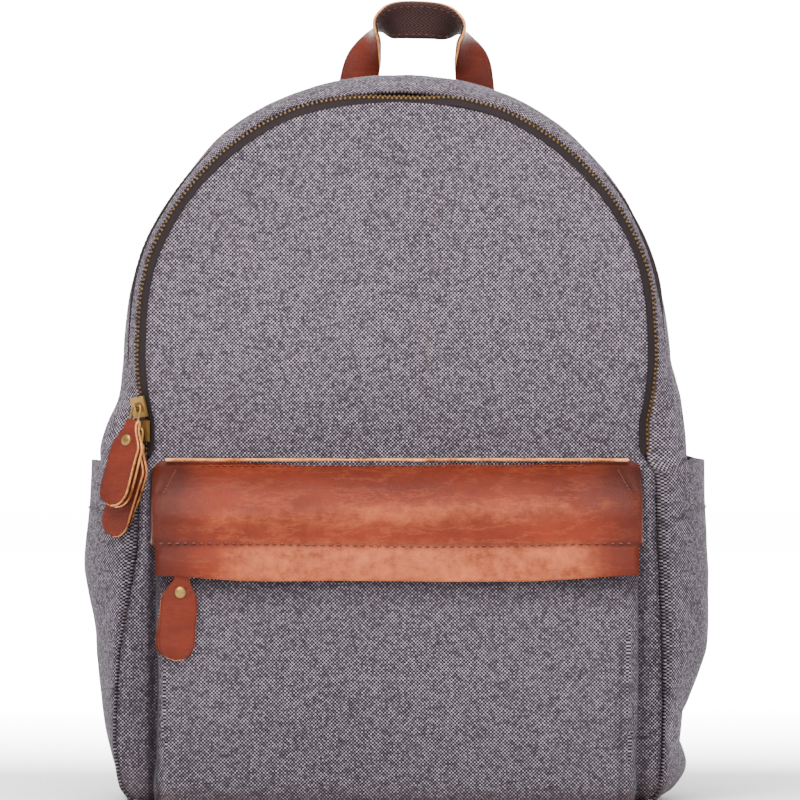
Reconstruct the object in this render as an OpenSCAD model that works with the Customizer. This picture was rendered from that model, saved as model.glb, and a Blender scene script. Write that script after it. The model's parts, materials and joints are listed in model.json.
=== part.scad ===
// Canvas travel backpack with leather trim, an arched main zip, a front pocket and two side pockets.
// Origin: centre of the base, on the ground. +Z is up and -Y is the front.

/* [Body] */
// Height of the bag body, without the carry handle
body_h = 417.5; // [380:0.5:450]
// Depth of the main compartment
body_d = 130; // [120:1:150]
// Radius of the main zip's arch
arch_r = 149.5; // [140:0.5:152]
// Thickness of the canvas walls
wall = 2.4; // [2:0.1:3]

/* [Front pocket] */
// Width of the front pocket
pocket_w = 276; // [240:1:276]
// How far the pocket's canvas stands in front of the body
pocket_d = 40; // [38:1:44]
// Height of the leather top of the pocket, at the body
pocket_top = 195; // [190:1:196]
// Height of the sewn line that the storm flap hangs from
storm_top = 151; // [149:1:153]
// Drop of the storm flap below its sewn line
storm_drop = 24; // [20:1:30]

/* [Side pockets] */
// Height of the side pockets' open rims
side_rim = 198; // [170:1:205]
// Furthest reach of a side pocket from the bag's middle
side_reach = 181; // [179:1:186]

/* [Zip pulls] */
// Length of a folded leather pull tab
tab_len = 51; // [40:1:56]
// Width of a pull tab
tab_w = 22; // [18:1:24]
// Position of the upper slider on the arch, below the arch's centre, in degrees
upper_at = 11.8; // [11:0.1:12]
// Height of the lower slider
lower_at = 215; // [214.5:0.5:215]

/* [Handle and straps] */
// Outer width of the carry handle
handle_w = 92; // [80:1:100]
// Width of the handle's band
handle_band = 21; // [18:1:24]
// How far the handle sits to the right of the middle
handle_x = 12; // [0:1:15]
// Width of a padded shoulder strap
strap_w = 62; // [50:1:66]
// Outward slant of a shoulder strap, in degrees
strap_slant = 18.3; // [12:0.1:19]

/* [Hidden] */
$fn = 96;
eps = 0.01;

front_y = -body_d / 2;
back_y = body_d / 2;
gusset_rise = 8.5;
arch_z = body_h - arch_r - gusset_rise;
low_angle = 15;
leg_r = arch_r * cos(low_angle);
leg_z = arch_z - arch_r * sin(low_angle);
c45 = sqrt(0.5);

// The zip: its middle line runs at zip_y, and its face is turned 45 degrees between front and side
zip_y = front_y + 6;
row_in = 0.7;
row_out = 3.2;
row_t = 1.2;
tape_out = 8;
tape_t = 0.4;
zip_low = 199.5;
panel_gap = 6.6;

// The front panel folds forward about a line at this height, above both sliders
fold_z = 252;
fold_gap = 1;

// Half of the body's width at the side panels, as [half width, height], from the gusset down
side_line = [[159.5, 214.8], [167.5, 195], [168, 120], [165, 45], [158, 12], [150, 1.5]];

// Sliders
slider_len = 12;
slider_w = 11;
plate_in = 1.6;
plate_out = 3;
blade = 0.7;
crown_w = 1.6;
crown_len = 5.4;
crown_top = 5.9;
pivot_n = 4.15;
ring_wire = 0.7;
ring_hole = 1.2;
main_ring = 12;
pocket_ring = 9.5;
tab_neck = 9;
tab_t = 1.8;
rivet_r = 3;
rivet_drop = 10;
upper_swivel = 15;
upper_lift = 21;
lower_swivel = 11;
lower_lift = 7;
pocket_swivel = 6;
pocket_lift = 6;

// Front pocket
pocket_front_y = front_y - pocket_d;
pocket_zip_z = 141;
pocket_zip_y = pocket_front_y + 7;
pocket_gap = 3;
pocket_slider_x = -122;
leather_t = 2.2;
leather_w = pocket_w + 6.4;
storm_lean = 9.5;

// Handle
handle_y = back_y - 7;
handle_z = body_h - 0.5;
hinge_gap = 2.6;
web_t = 2.4;

// Shoulder straps, in each strap's own plane: y outward from the back, s down along the strap
strap_x = 45;
strap_z = 392;
strap_path = [[73.5, 0], [79, -25], [88, -55], [97, -100], [101, -150], [99, -200], [93, -245], [87, -280]];
strap_t = 9;
lock_s = -303;
lock_y = 86;
web_w = 25;
web_end = [70.5, -352];

canvas = "dimgray";
leather = "sienna";
brass = "darkgoldenrod";
tape = "#3a2f33";
lining = "tan";

// ---- helpers ----

// Two layers offset from one line: a wall of thickness t to the -x side of the points
function wall_points(points, t) = concat(points, [for (i = [len(points) - 1:-1:0]) points[i] - [t, 0]]);

// A point of the zip's cross-section, t across it towards the front and n out of its face
function zip_point(t, n) = [(n - t) * c45, -(n + t) * c45];

// A band of the zip's cross-section, as a polygon about the zip's middle
module zip_band(t0, t1, n0, n1) {
    polygon([zip_point(t0, n0), zip_point(t1, n0), zip_point(t1, n1), zip_point(t0, n1)]);
}

// Turns a cross-section, x outward from the zip's line and y along the bag's depth, round the arch,
// between the heights low and high
module along_arch(low, high) {
    big = 2 * body_h;
    intersection() {
        translate([0, 0, arch_z]) rotate([-90, 0, 0]) rotate_extrude() translate([arch_r, 0]) children();
        translate([-big / 2, -big / 2, low]) cube([big, big, high - low]);
    }
}

// Runs the cross-section down both legs, from below the arch to the height low
module along_legs(low) {
    for (side = [0, 1])
        mirror([side, 0, 0])
            translate([0, 0, low])
                linear_extrude(leg_z - low + eps) translate([leg_r, 0]) children();
}

// Runs an outline, drawn in x and z, through the depth from y0 to y1
module through_depth(y0, y1) {
    translate([0, y1, 0]) rotate([90, 0, 0]) linear_extrude(y1 - y0) children();
}

// Runs a profile, drawn in y and z, across the width w, centred
module across_width(w) {
    translate([-w / 2, 0, 0]) rotate([90, 0, 90]) linear_extrude(w) children();
}

// Puts both sides' copies of a left-hand child
module on_side(right) {
    mirror([right ? 1 : 0, 0, 0]) children();
}

// The part of a disc about the arch's centre above the height from, in x and z
module arch_disc(r, from) {
    intersection() {
        translate([0, arch_z]) circle(r);
        translate([-body_h, from]) square([2 * body_h, 2 * body_h]);
    }
}

// An arched outline with straight sides, in x and z
module arch_outline(r, half_w, low) {
    arch_disc(r, arch_z);
    translate([-half_w, low]) square([2 * half_w, arch_z - low + eps]);
}

// The front panel's outline in x and z between two heights below the arch's centre
module panel_outline(low, high) {
    r = arch_r - panel_gap;
    leg = leg_r - panel_gap;
    intersection() {
        arch_disc(r, leg_z);
        translate([-body_h, leg_z]) square([2 * body_h, high - leg_z]);
    }
    translate([-leg, low]) square([2 * leg, leg_z - low + eps]);
}

// ---- body ----

module back_panel() {
    inset = 3;
    shoulder = 8;
    half = concat([[arch_r + inset - 0.3, arch_z + shoulder]], [for (p = side_line) p - [inset, 0]]);
    mirrored = [for (i = [len(half) - 1:-1:0]) [-half[i][0], half[i][1]]];
    color(canvas) {
        through_depth(back_y - wall, back_y) translate([0, arch_z]) circle(arch_r + inset);
        through_depth(back_y - wall, back_y) polygon(concat(half, mirrored));
    }
}

module back_foam() {
    color("black")
        through_depth(back_y - wall - 5.2, back_y - wall - 0.2)
            arch_outline(arch_r - 6, arch_r - 6, 8);
}

module back_lining() {
    color(lining)
        through_depth(back_y - wall - 6.4, back_y - wall - 5.4)
            arch_outline(arch_r - 5, arch_r - 5, 7);
}

// An open-topped sleeve sewn to the back lining: a face with two side strips and a bottom strip
module laptop_sleeve() {
    y1 = back_y - wall - 6.6;
    y0 = y1 - 20;
    half_w = 125;
    high = 245;
    color(lining) {
        through_depth(y0, y0 + 1.6) translate([-half_w, 10]) square([2 * half_w, high - 10]);
        for (side = [-1, 1])
            through_depth(y0 + 1.6 - eps, y1)
                translate([side * (half_w - 0.8) - 0.8, 10]) square([1.6, high - 10]);
        through_depth(y0 + 1.6 - eps, y1) translate([-half_w, 10]) square([2 * half_w, 1.6]);
    }
}

module base_panel() {
    color(canvas) translate([-147, front_y + 3, 0]) cube([294, body_d - 6, wall]);
}

module base_board() {
    color("saddlebrown") translate([-138, front_y + 6, wall + 0.1]) cube([276, body_d - 18, 2.5]);
}

module base_lining() {
    color(lining) translate([-140, front_y + 5, wall + 2.8]) cube([280, body_d - 16, 1]);
}

module gusset_section() {
    polygon(wall_points([[6.4, zip_y + 6.6], [gusset_rise, front_y + 27], [gusset_rise, 25], [4, back_y - 3]], wall));
}

module gusset_leg_section() {
    polygon(wall_points([[leg_r + 6.4, zip_y + 6.6], [159, front_y + 35], [159.5, 25], [153, back_y - 3]], wall));
}

module gusset_arch() {
    big = 2 * body_h;
    color(canvas) {
        intersection() {
            translate([0, 0, arch_z]) rotate([-90, 0, 0])
                rotate_extrude() translate([arch_r, 0]) gusset_section();
            translate([-big / 2, -big / 2, arch_z]) cube([big, big, big]);
        }
        for (right = [false, true])
            on_side(!right) translate([0, 0, 215.2]) linear_extrude(arch_z - 215.2 + eps) gusset_leg_section();
    }
}

module gusset_lining() {
    section = wall_points([[1, front_y + 25], [3, front_y + 37], [3, 20], [-0.5, back_y - 11]], 0.8);
    color(lining) {
        along_arch(leg_z, body_h) polygon(section);
        along_legs(12) polygon(section);
    }
}

module side_panel(right) {
    color(canvas) on_side(!right) through_depth(front_y + 19, back_y - 3) polygon(wall_points(side_line, wall));
}

module front_panel_lower() {
    color(canvas) through_depth(front_y, front_y + wall) panel_outline(4, fold_z - fold_gap);
}

// The facing between the front panel or the zip and a side panel
module front_strip(right) {
    half_in = 155;
    color(canvas)
        on_side(!right) {
            translate([0, 0, 4]) linear_extrude(185)
                polygon([[139, -64.2], [157.2, -48.6], [157.2, -46.2], [155, -46.2], [139, -61.6]]);
            translate([0, 0, 189 - eps]) linear_extrude(25.8)
                polygon([[151.6, -52.2], [157.2, -48.6], [157.2, -46.2], [154, -46.2], [151.6, -48.6]]);
            through_depth(front_y + 16.4, front_y + 18.8)
                polygon(concat([[half_in, 214.8]], side_line, [[half_in - 6, 3]], [[half_in, 12]]));
        }
}

// ---- main zip ----

module front_panel_upper() {
    color(canvas) through_depth(front_y, front_y + wall) arch_disc(arch_r - panel_gap, fold_z + fold_gap);
}

module front_lining() {
    color(lining)
        through_depth(front_y + wall + 0.1, front_y + wall + 0.9) arch_disc(arch_r - panel_gap - 1, fold_z + 2);
}

module tape_band(side) {
    translate([0, zip_y]) zip_band(side * row_out, side * tape_out, -side * tape_t, side * tape_t);
}

module teeth_band(side) {
    translate([0, zip_y]) zip_band(side * row_in, side * row_out, -side * row_t, side * row_t);
}

// The row that stays on the bag: all of the rear one, and the front one below the fold
module body_row() {
    along_arch(leg_z, body_h) children(0);
    along_legs(zip_low) children(0);
    along_arch(leg_z, fold_z - fold_gap) children(1);
    along_legs(zip_low) children(1);
}

module zip_tape_body() {
    color(tape)
        body_row() {
            tape_band(-1);
            tape_band(1);
        }
}

module zip_teeth_body() {
    color(brass)
        body_row() {
            teeth_band(-1);
            teeth_band(1);
        }
}

module zip_tape_flap() {
    color(tape) along_arch(fold_z + fold_gap, body_h) tape_band(1);
}

module zip_teeth_flap() {
    color(brass) along_arch(fold_z + fold_gap, body_h) teeth_band(1);
}

// The canvas tab that covers the bottom end of the zip
module zip_end(right) {
    color(canvas)
        on_side(!right)
            translate([leg_r, zip_y, 189.6])
                linear_extrude(8.8) zip_band(-tape_out, tape_out - 1.5, -1.3, 1.3);
}

// ---- sliders and pulls ----

// x across the zip towards the front, y along it, z out of its face. The crown turns with the pull's side.
module slider(w, gap, turn) {
    color(brass)
        difference() {
            union() {
                rotate([0, 0, turn]) {
                    for (z = [plate_in, -plate_out])
                        translate([-w / 2, -slider_len / 2, z]) cube([w, slider_len, plate_out - plate_in]);
                    translate([-gap / 2, -slider_len / 2, -plate_out]) cube([gap, slider_len, 2 * plate_out]);
                }
                translate([-crown_w / 2, -crown_len / 2, plate_out - eps])
                    cube([crown_w, crown_len, crown_top - plate_out]);
            }
            translate([-crown_w, 0, pivot_n]) rotate([0, 90, 0]) cylinder(h = 2 * crown_w, r = ring_hole);
        }
}

// A wire loop whose top bar turns in the slider's crown, hanging along -y
module ring(length) {
    half = tab_neck / 2 + 1.1;
    color(brass) {
        for (y = [0, -length])
            translate([-half, y, 0]) rotate([0, 90, 0]) cylinder(h = 2 * half, r = ring_wire);
        for (side = [-1, 1]) {
            translate([side * half, 0, 0]) rotate([90, 0, 0]) cylinder(h = length, r = ring_wire);
            for (y = [0, -length]) translate([side * half, y, 0]) sphere(ring_wire);
        }
    }
}

// A strip of leather folded over the ring's lower bar
module pull_tab(length) {
    top = 2.5 - length;
    round_y = top - tab_len + tab_w / 2;
    neck_y = top - 17;
    side_x = tab_w / 2 - 0.2;
    color(leather)
        difference() {
            union() {
                translate([0, 0, -tab_t])
                    linear_extrude(2 * tab_t)
                        polygon([[-tab_neck / 2, top], [tab_neck / 2, top], [tab_neck / 2, top - 4],
                            [side_x, neck_y], [side_x, round_y], [-side_x, round_y], [-side_x, neck_y],
                            [-tab_neck / 2, top - 4]]);
                translate([0, round_y, -tab_t]) cylinder(h = 2 * tab_t, r = tab_w / 2);
            }
            translate([-tab_w, -length, 0]) rotate([0, 90, 0]) cylinder(h = 2 * tab_w, r = ring_wire + 0.2);
            translate([-tab_w, top - tab_len - 1, -0.1]) cube([2 * tab_w, tab_len - 3, 0.2]);
            translate([0, top - rivet_drop, -3]) cylinder(h = 6, r = 1.2);
        }
}

module rivet(length) {
    cap = 0.9;
    color(brass)
        translate([0, 2.5 - length - rivet_drop, 0]) {
            translate([0, 0, -tab_t - cap]) cylinder(h = 2 * (tab_t + cap), r = 1);
            for (z = [-tab_t - cap, tab_t + 0.05]) translate([0, 0, z]) cylinder(h = cap - 0.05, r = rivet_r);
        }
}

// The frame of the zip's face on the left leg: x across it, y up, z out
module on_left_leg(z) {
    translate([-leg_r, zip_y, z]) rotate([90, 0, -45]) children();
}

module on_left_arch(angle) {
    translate([0, 0, arch_z]) rotate([0, -angle, 0]) translate([-arch_r, zip_y, 0]) rotate([90, 0, -45]) children();
}

module hanging(swivel, lift) {
    translate([0, 0, pivot_n]) rotate([0, 0, -swivel]) rotate([-lift, 0, 0]) children();
}

module on_upper_pull() {
    on_left_arch(upper_at) hanging(upper_swivel, upper_lift) children();
}

module on_lower_pull() {
    on_left_leg(lower_at) hanging(lower_swivel, lower_lift) children();
}

module on_pocket_zip() {
    translate([pocket_slider_x, pocket_zip_y, pocket_zip_z]) children();
}

module on_pocket_pull() {
    on_pocket_zip() rotate([90, 0, 0]) hanging(pocket_swivel, pocket_lift) children();
}

module pocket_slider() {
    on_pocket_zip() rotate([90, 0, 0]) slider(2 * (pocket_gap + 2.4), 4.4, 90);
}

// ---- front pocket ----

module pocket_front() {
    p = pocket_front_y;
    outer = [[p + 5, 129.6], [p + 2, 100], [p, 60], [p + 3.5, 20], [p + 8, 6.6]];
    color(canvas)
        across_width(pocket_w - 6) polygon(concat(outer, [for (i = [len(outer) - 1:-1:0]) outer[i] + [wall, 0]]));
}

// The pocket's two sides and its bottom
module pocket_gusset() {
    p = pocket_front_y;
    profile = [[-65.2, 4], [p + 8, 4], [p + 5.6, 50], [p + 6.4, 150], [p + 16, 177], [-65.2, 190]];
    color(canvas) {
        for (side = [-1, 1])
            translate([side * (pocket_w / 2 - wall / 2), 0, 0]) across_width(wall) polygon(profile);
        across_width(pocket_w - 2 * wall + eps) polygon([[-65.2, 4], [p + 8, 4], [p + 8, 6.4], [-65.2, 6.4]]);
    }
}

// The leather top of the pocket, from the body down to the storm flap's sewn line, with its two wings
module pocket_leather() {
    p = pocket_front_y;
    outer = [[-65.3, pocket_top], [p + 15, 181], [p + 6, 167], [p + 4, storm_top + 1]];
    inner = [[p + 6.2, storm_top + 1], [p + 8.2, 167], [p + 16.4, 179.2], [-65.3, pocket_top - 2.6]];
    color(leather) {
        across_width(leather_w) polygon(concat(outer, inner));
        for (side = [-1, 1])
            translate([side * (leather_w - leather_t) / 2, 0, 0])
                across_width(leather_t)
                    polygon(concat(outer, [[-65.3, storm_top + 1]]));
    }
}

module storm_flap() {
    low = storm_top - storm_drop;
    color(leather)
        across_width(leather_w)
            polygon([[-101.5, storm_top], [-101.5 - storm_lean, low], [-103.7 - storm_lean, low + 0.4],
                [-103.7, storm_top + 0.4]]);
}

// One side of the pocket's zip, with its tape: side is 1 for the upper and -1 for the lower
module pocket_zip(side) {
    half_w = pocket_w / 2 - 4;
    z0 = pocket_zip_z;
    color(brass)
        translate([-half_w, pocket_zip_y - row_t, side > 0 ? z0 + pocket_gap : z0 - pocket_gap - 2.4])
            cube([2 * half_w, 2 * row_t, 2.4]);
    color(tape)
        translate([-half_w, pocket_zip_y - tape_t, side > 0 ? z0 + pocket_gap + 2.4 : z0 - pocket_gap - 8])
            cube([2 * half_w, 2 * tape_t, 5.6]);
}

// ---- side pockets ----

module side_pocket(right) {
    r = side_reach;
    outer = [[168.4, -38], [r - 5, -28], [r, -10], [r, 30], [r - 5, 46], [168.4, 56]];
    inner = [[168.4, 53.4], [r - 6.6, 44.4], [r - 2.2, 29.4], [r - 2.2, -9.4], [r - 6.6, -26.4], [168.4, -35.4]];
    color(canvas)
        on_side(!right) {
            translate([0, 0, 14]) linear_extrude(side_rim - 14) polygon(concat(outer, inner));
            translate([0, 0, 14]) linear_extrude(wall) polygon(outer);
        }
}

// ---- carry handle ----

// Half of a flat ring, standing on its two ends, from y0 to y1
module half_ring(y0, y1) {
    r = handle_w / 2;
    translate([handle_x, y1, handle_z]) rotate([90, 0, 0])
        intersection() {
            difference() {
                cylinder(h = y1 - y0, r = r);
                translate([0, 0, -1]) cylinder(h = y1 - y0 + 2, r = r - handle_band);
            }
            translate([-2 * r, 0, -1]) cube([4 * r, 2 * r, y1 - y0 + 2]);
        }
}

module handle_leather() {
    color(leather) half_ring(handle_y - 2.2, handle_y - 0.05);
}

module handle_webbing() {
    color(tape) half_ring(handle_y + 0.05, handle_y + web_t);
}

// The two sewn-in ends of the handle
module handle_anchor() {
    color(leather)
        for (side = [-1, 1]) {
            middle = handle_x + side * (handle_w / 2 - handle_band / 2);
            inner = abs(middle) - handle_band / 2 + 1;
            foot = arch_z + sqrt(pow(arch_r + wall + 2.7, 2) - inner * inner);
            translate([middle - handle_band / 2 + 1, handle_y - 2, foot])
                cube([handle_band - 2, 4, handle_z - hinge_gap - foot]);
        }
}

// ---- shoulder straps ----

module strap_yoke() {
    low = 368;
    color(leather) through_depth(back_y + 0.1, back_y + 2.1) arch_disc(arch_r + 1, low);
}

// The canvas tab at the bottom corner that holds a strap's webbing
module strap_tab(right) {
    color(canvas)
        on_side(!right)
            through_depth(back_y + 0.1, back_y + 3)
                polygon([[138, 30], [152, 10], [152, 62], [140, 58]]);
}

// A strap's own plane: z runs down its length and y away from the back
module in_strap(right) {
    on_side(!right) translate([strap_x, 0, strap_z]) rotate([0, -strap_slant, 0]) children();
}

module strap_pad(right) {
    outer = [for (p = strap_path) p + [strap_t / 2, 0]];
    inner = [for (i = [len(strap_path) - 1:-1:0]) strap_path[i] - [strap_t / 2 - 1, 0]];
    color(canvas) in_strap(right) across_width(strap_w) polygon(concat(outer, inner));
}

// A moulded frame with two slots that the webbing is threaded through
module strap_lock(right) {
    color("black")
        in_strap(right)
            translate([0, lock_y, lock_s])
                difference() {
                    translate([-17, -2, -14]) cube([34, 4, 28]);
                    for (z = [-9.5, 3]) translate([-13.4, -3, z]) cube([26.8, 6, 6.5]);
                }
}

module strap_web(right) {
    y1 = lock_y + 2.6;
    color("black")
        in_strap(right) {
            across_width(web_w)
                polygon([[lock_y - 3.6, lock_s + 9], [lock_y - 2.4, lock_s + 9], [lock_y - 2.4, lock_s - 12],
                    web_end + [1.6, 0], web_end, [lock_y - 3.8, lock_s - 12]]);
            across_width(web_w)
                polygon([[y1, lock_s + 8], [y1 + 1.4, lock_s + 8], [y1 + 2.4, lock_s - 20], [y1 + 1, -355],
                    [y1 - 0.4, -355], [y1 + 1, lock_s - 20]]);
        }
}

// ---- one line for each node ----

back_panel();
back_foam();
back_lining();
laptop_sleeve();
base_panel();
base_board();
base_lining();
gusset_arch();
gusset_lining();
side_panel(false);  // side_panel_left
side_panel(true);  // side_panel_right
front_panel_lower();
front_strip(false);  // front_strip_left
front_strip(true);  // front_strip_right
front_panel_upper();
front_lining();
zip_tape_flap();
zip_tape_body();
zip_teeth_flap();
zip_teeth_body();
zip_end(false);  // zip_end_left
zip_end(true);  // zip_end_right
on_left_arch(upper_at) slider(slider_w, blade, 0);  // upper_slider
on_upper_pull() ring(main_ring);  // upper_ring
on_upper_pull() pull_tab(main_ring);  // upper_tab
on_upper_pull() rivet(main_ring);  // upper_rivet
on_left_leg(lower_at) slider(slider_w, blade, 0);  // lower_slider
on_lower_pull() ring(main_ring);  // lower_ring
on_lower_pull() pull_tab(main_ring);  // lower_tab
on_lower_pull() rivet(main_ring);  // lower_rivet
pocket_front();
pocket_gusset();
pocket_leather();
storm_flap();
pocket_zip(1);  // pocket_zip_upper
pocket_zip(-1);  // pocket_zip_lower
pocket_slider();
on_pocket_pull() ring(pocket_ring);
on_pocket_pull() pull_tab(pocket_ring);  // pocket_tab
on_pocket_pull() rivet(pocket_ring);  // pocket_rivet
side_pocket(false);  // side_pocket_left
side_pocket(true);  // side_pocket_right
handle_anchor();
handle_webbing();
handle_leather();
strap_yoke();
strap_tab(false);  // strap_tab_left
strap_tab(true);  // strap_tab_right
strap_pad(false);  // strap_pad_left
strap_pad(true);  // strap_pad_right
strap_lock(false);  // strap_lock_left
strap_lock(true);  // strap_lock_right
strap_web(false);  // strap_web_left
strap_web(true);  // strap_web_right
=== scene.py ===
"""Looks of a canvas travel backpack with leather trims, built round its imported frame.

Sizes in the classes are millimetres in the frame's axes: X right, Y back, Z up.
"""

import bisect
import json
import logging
import math
from dataclasses import dataclass
from enum import Enum
from typing import Any, Callable, Iterable, Sequence

import bmesh
import bpy
from mathutils import Matrix, Vector, noise


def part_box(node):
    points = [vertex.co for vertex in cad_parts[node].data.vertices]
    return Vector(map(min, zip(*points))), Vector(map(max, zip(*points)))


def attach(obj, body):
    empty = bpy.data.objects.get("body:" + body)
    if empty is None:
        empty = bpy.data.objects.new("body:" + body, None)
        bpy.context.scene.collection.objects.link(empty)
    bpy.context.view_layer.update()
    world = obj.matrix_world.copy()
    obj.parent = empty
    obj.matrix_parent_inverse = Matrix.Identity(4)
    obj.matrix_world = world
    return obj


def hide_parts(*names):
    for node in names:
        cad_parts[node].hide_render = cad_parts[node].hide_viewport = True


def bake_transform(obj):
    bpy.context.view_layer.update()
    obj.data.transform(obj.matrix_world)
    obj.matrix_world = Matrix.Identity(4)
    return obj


LOG = logging.getLogger("backpack")
MM = 0.001
ROOT_HALF = math.sqrt(0.5)
Shape = Callable[[float, float], Vector]
Scalar = Callable[[float, float], float]
Ink = tuple[float, float, float, float]

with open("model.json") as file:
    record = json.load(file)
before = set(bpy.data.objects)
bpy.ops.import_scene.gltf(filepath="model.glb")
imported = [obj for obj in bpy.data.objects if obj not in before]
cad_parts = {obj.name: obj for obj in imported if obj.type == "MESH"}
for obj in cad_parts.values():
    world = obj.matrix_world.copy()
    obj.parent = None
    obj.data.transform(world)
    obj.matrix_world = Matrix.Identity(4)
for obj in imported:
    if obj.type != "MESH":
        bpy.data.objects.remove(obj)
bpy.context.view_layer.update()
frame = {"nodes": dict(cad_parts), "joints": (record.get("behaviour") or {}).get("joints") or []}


# ---- numbers and curves ----


def lerp(a: float, b: float, t: float) -> float:
    """Point between a and b at t."""
    return a + (b - a) * t


def smooth(low: float, high: float, x: float) -> float:
    """Smooth step of x between low and high, in either order."""
    t = min(1.0, max(0.0, (x - low) / (high - low)))
    return t * t * (3 - 2 * t)


def bell(x: float, middle: float, width: float) -> float:
    """Bell of height 1 at middle."""
    return math.exp(-(((x - middle) / width) ** 2))


def rumple(x: float, y: float, z: float, size: float, seed: float = 0.0) -> float:
    """Soft noise from -1 to 1 whose lumps are about size millimetres."""
    return noise.noise(Vector((x / size + seed, y / size - seed, z / size + 2 * seed)))


class Profile:
    """A smooth curve through (position, value) points, flat beyond its ends."""

    def __init__(self, *points: tuple[float, float]) -> None:
        """Keeps the points in order of position.

        Args:
            points: Pairs of position and value.
        """
        ordered = sorted(points)
        self.at = [p[0] for p in ordered]
        self.value = [p[1] for p in ordered]

    def slope(self, i: int) -> float:
        """Slope of the curve at point i."""
        low, high = max(0, i - 1), min(len(self.at) - 1, i + 1)
        return (self.value[high] - self.value[low]) / (self.at[high] - self.at[low])

    def __call__(self, x: float) -> float:
        """Reads the curve.

        Args:
            x: Position along it.

        Returns:
            Its value there.
        """
        if x <= self.at[0]:
            return self.value[0]
        if x >= self.at[-1]:
            return self.value[-1]
        i = bisect.bisect_right(self.at, x) - 1
        span = self.at[i + 1] - self.at[i]
        t = (x - self.at[i]) / span
        start, end = self.slope(i) * span, self.slope(i + 1) * span
        return (
            (2 * t**3 - 3 * t**2 + 1) * self.value[i]
            + (t**3 - 2 * t**2 + t) * start
            + (3 * t**2 - 2 * t**3) * self.value[i + 1]
            + (t**3 - t**2) * end
        )


# ---- materials ----


class Wire:
    """An output socket that takes part in shader arithmetic."""

    def __init__(self, graph: "Graph", socket: bpy.types.NodeSocket) -> None:
        """Keeps the graph and its socket."""
        self.graph = graph
        self.socket = socket

    def __add__(self, other: Any) -> "Wire":
        """Sum."""
        return self.graph.math("ADD", self, other)

    def __radd__(self, other: Any) -> "Wire":
        """Sum, other way round."""
        return self.graph.math("ADD", other, self)

    def __sub__(self, other: Any) -> "Wire":
        """Difference."""
        return self.graph.math("SUBTRACT", self, other)

    def __rsub__(self, other: Any) -> "Wire":
        """Difference, other way round."""
        return self.graph.math("SUBTRACT", other, self)

    def __mul__(self, other: Any) -> "Wire":
        """Product."""
        return self.graph.math("MULTIPLY", self, other)

    def __rmul__(self, other: Any) -> "Wire":
        """Product, other way round."""
        return self.graph.math("MULTIPLY", other, self)

    def __truediv__(self, other: Any) -> "Wire":
        """Quotient."""
        return self.graph.math("DIVIDE", self, other)

    def __mod__(self, other: Any) -> "Wire":
        """Remainder, never negative."""
        return self.graph.math("FLOORED_MODULO", self, other)


class Graph:
    """The node graph of one material."""

    def __init__(self, name: str) -> None:
        """Starts an empty material.

        Args:
            name: Name of the material.
        """
        self.material = bpy.data.materials.new(f"{name}_finish")
        self.material.use_nodes = True
        self.tree = self.material.node_tree
        self.tree.nodes.clear()

    def node(self, kind: str, settings: dict | None = None, inputs: dict | None = None, out: Any = 0) -> Wire:
        """Adds a node.

        Args:
            kind: Type of node, without its prefix.
            settings: Values of its properties.
            inputs: Numbers, colours or wires for its sockets, by name or index.
            out: Output that is wanted.

        Returns:
            That output.
        """
        made = self.tree.nodes.new("ShaderNode" + kind)
        for key, value in (settings or {}).items():
            setattr(made, key, value)
        for key, value in (inputs or {}).items():
            if isinstance(value, Wire):
                self.tree.links.new(value.socket, made.inputs[key])
            else:
                made.inputs[key].default_value = value
        return Wire(self, made.outputs[out] if made.outputs else None)

    def math(self, operation: str, a: Any, b: Any = 0.0, c: Any = 0.0) -> Wire:
        """Adds a maths node and gives its result."""
        return self.node("Math", {"operation": operation}, {0: a, 1: b, 2: c})

    def mix(self, factor: Any, a: Any, b: Any) -> Wire:
        """Mixes two colours by factor."""
        return self.node("Mix", {"data_type": "RGBA"}, {0: factor, 6: a, 7: b}, 2)

    def ramp(self, value: Wire, low: float, high: float) -> Wire:
        """Value stretched smoothly so that low gives 0 and high gives 1."""
        return self.node(
            "MapRange",
            {"interpolation_type": "SMOOTHSTEP"},
            {"Value": value, "From Min": low, "From Max": high},
        )

    def noise(self, where: Wire, scale: float, detail: float = 2.0, rough: float = 0.5) -> Wire:
        """Noise from about 0 to 1 at a place."""
        return self.node(
            "TexNoise", None, {"Vector": where, "Scale": scale, "Detail": detail, "Roughness": rough}
        )

    def stretch(self, where: Wire, by: Sequence[float]) -> Wire:
        """A place multiplied by three numbers."""
        return self.node("VectorMath", {"operation": "MULTIPLY"}, {0: where, 1: tuple(by)})

    def attribute(self, name: str) -> Wire:
        """A mesh attribute's number."""
        return self.node("Attribute", {"attribute_name": name}, out="Fac")

    def place(self) -> Wire:
        """Object coordinates in metres."""
        return self.node("TexCoord", out="Object")

    def cloth(self) -> tuple[Wire, Wire]:
        """Metres along the weft and along the warp."""
        flat = self.node("UVMap", {"uv_map": "cloth"})
        split = self.node("SeparateXYZ", None, {0: flat}, "X")
        return split, Wire(self, split.socket.node.outputs["Y"])

    def combine(self, x: Any, y: Any, z: Any = 0.0) -> Wire:
        """A place from three numbers."""
        return self.node("CombineXYZ", None, {0: x, 1: y, 2: z})

    def dress(self, colour: Wire, roughness: Any, height: Wire, deep: float, fixed: dict | None = None) -> Any:
        """Closes the graph with its surface shader.

        Args:
            colour: Base colour.
            roughness: Roughness.
            height: Height of the surface, from 0 to 1.
            deep: Depth of that height, in metres.
            fixed: Numbers that are the same all over.

        Returns:
            The finished material.
        """
        bump = self.node("Bump", None, {"Strength": 1.0, "Distance": deep, "Height": height})
        inputs = {"Base Color": colour, "Roughness": roughness, "Normal": bump, **(fixed or {})}
        shader = self.node("BsdfPrincipled", None, inputs)
        self.node("OutputMaterial", None, {"Surface": shader})
        return self.material


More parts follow.
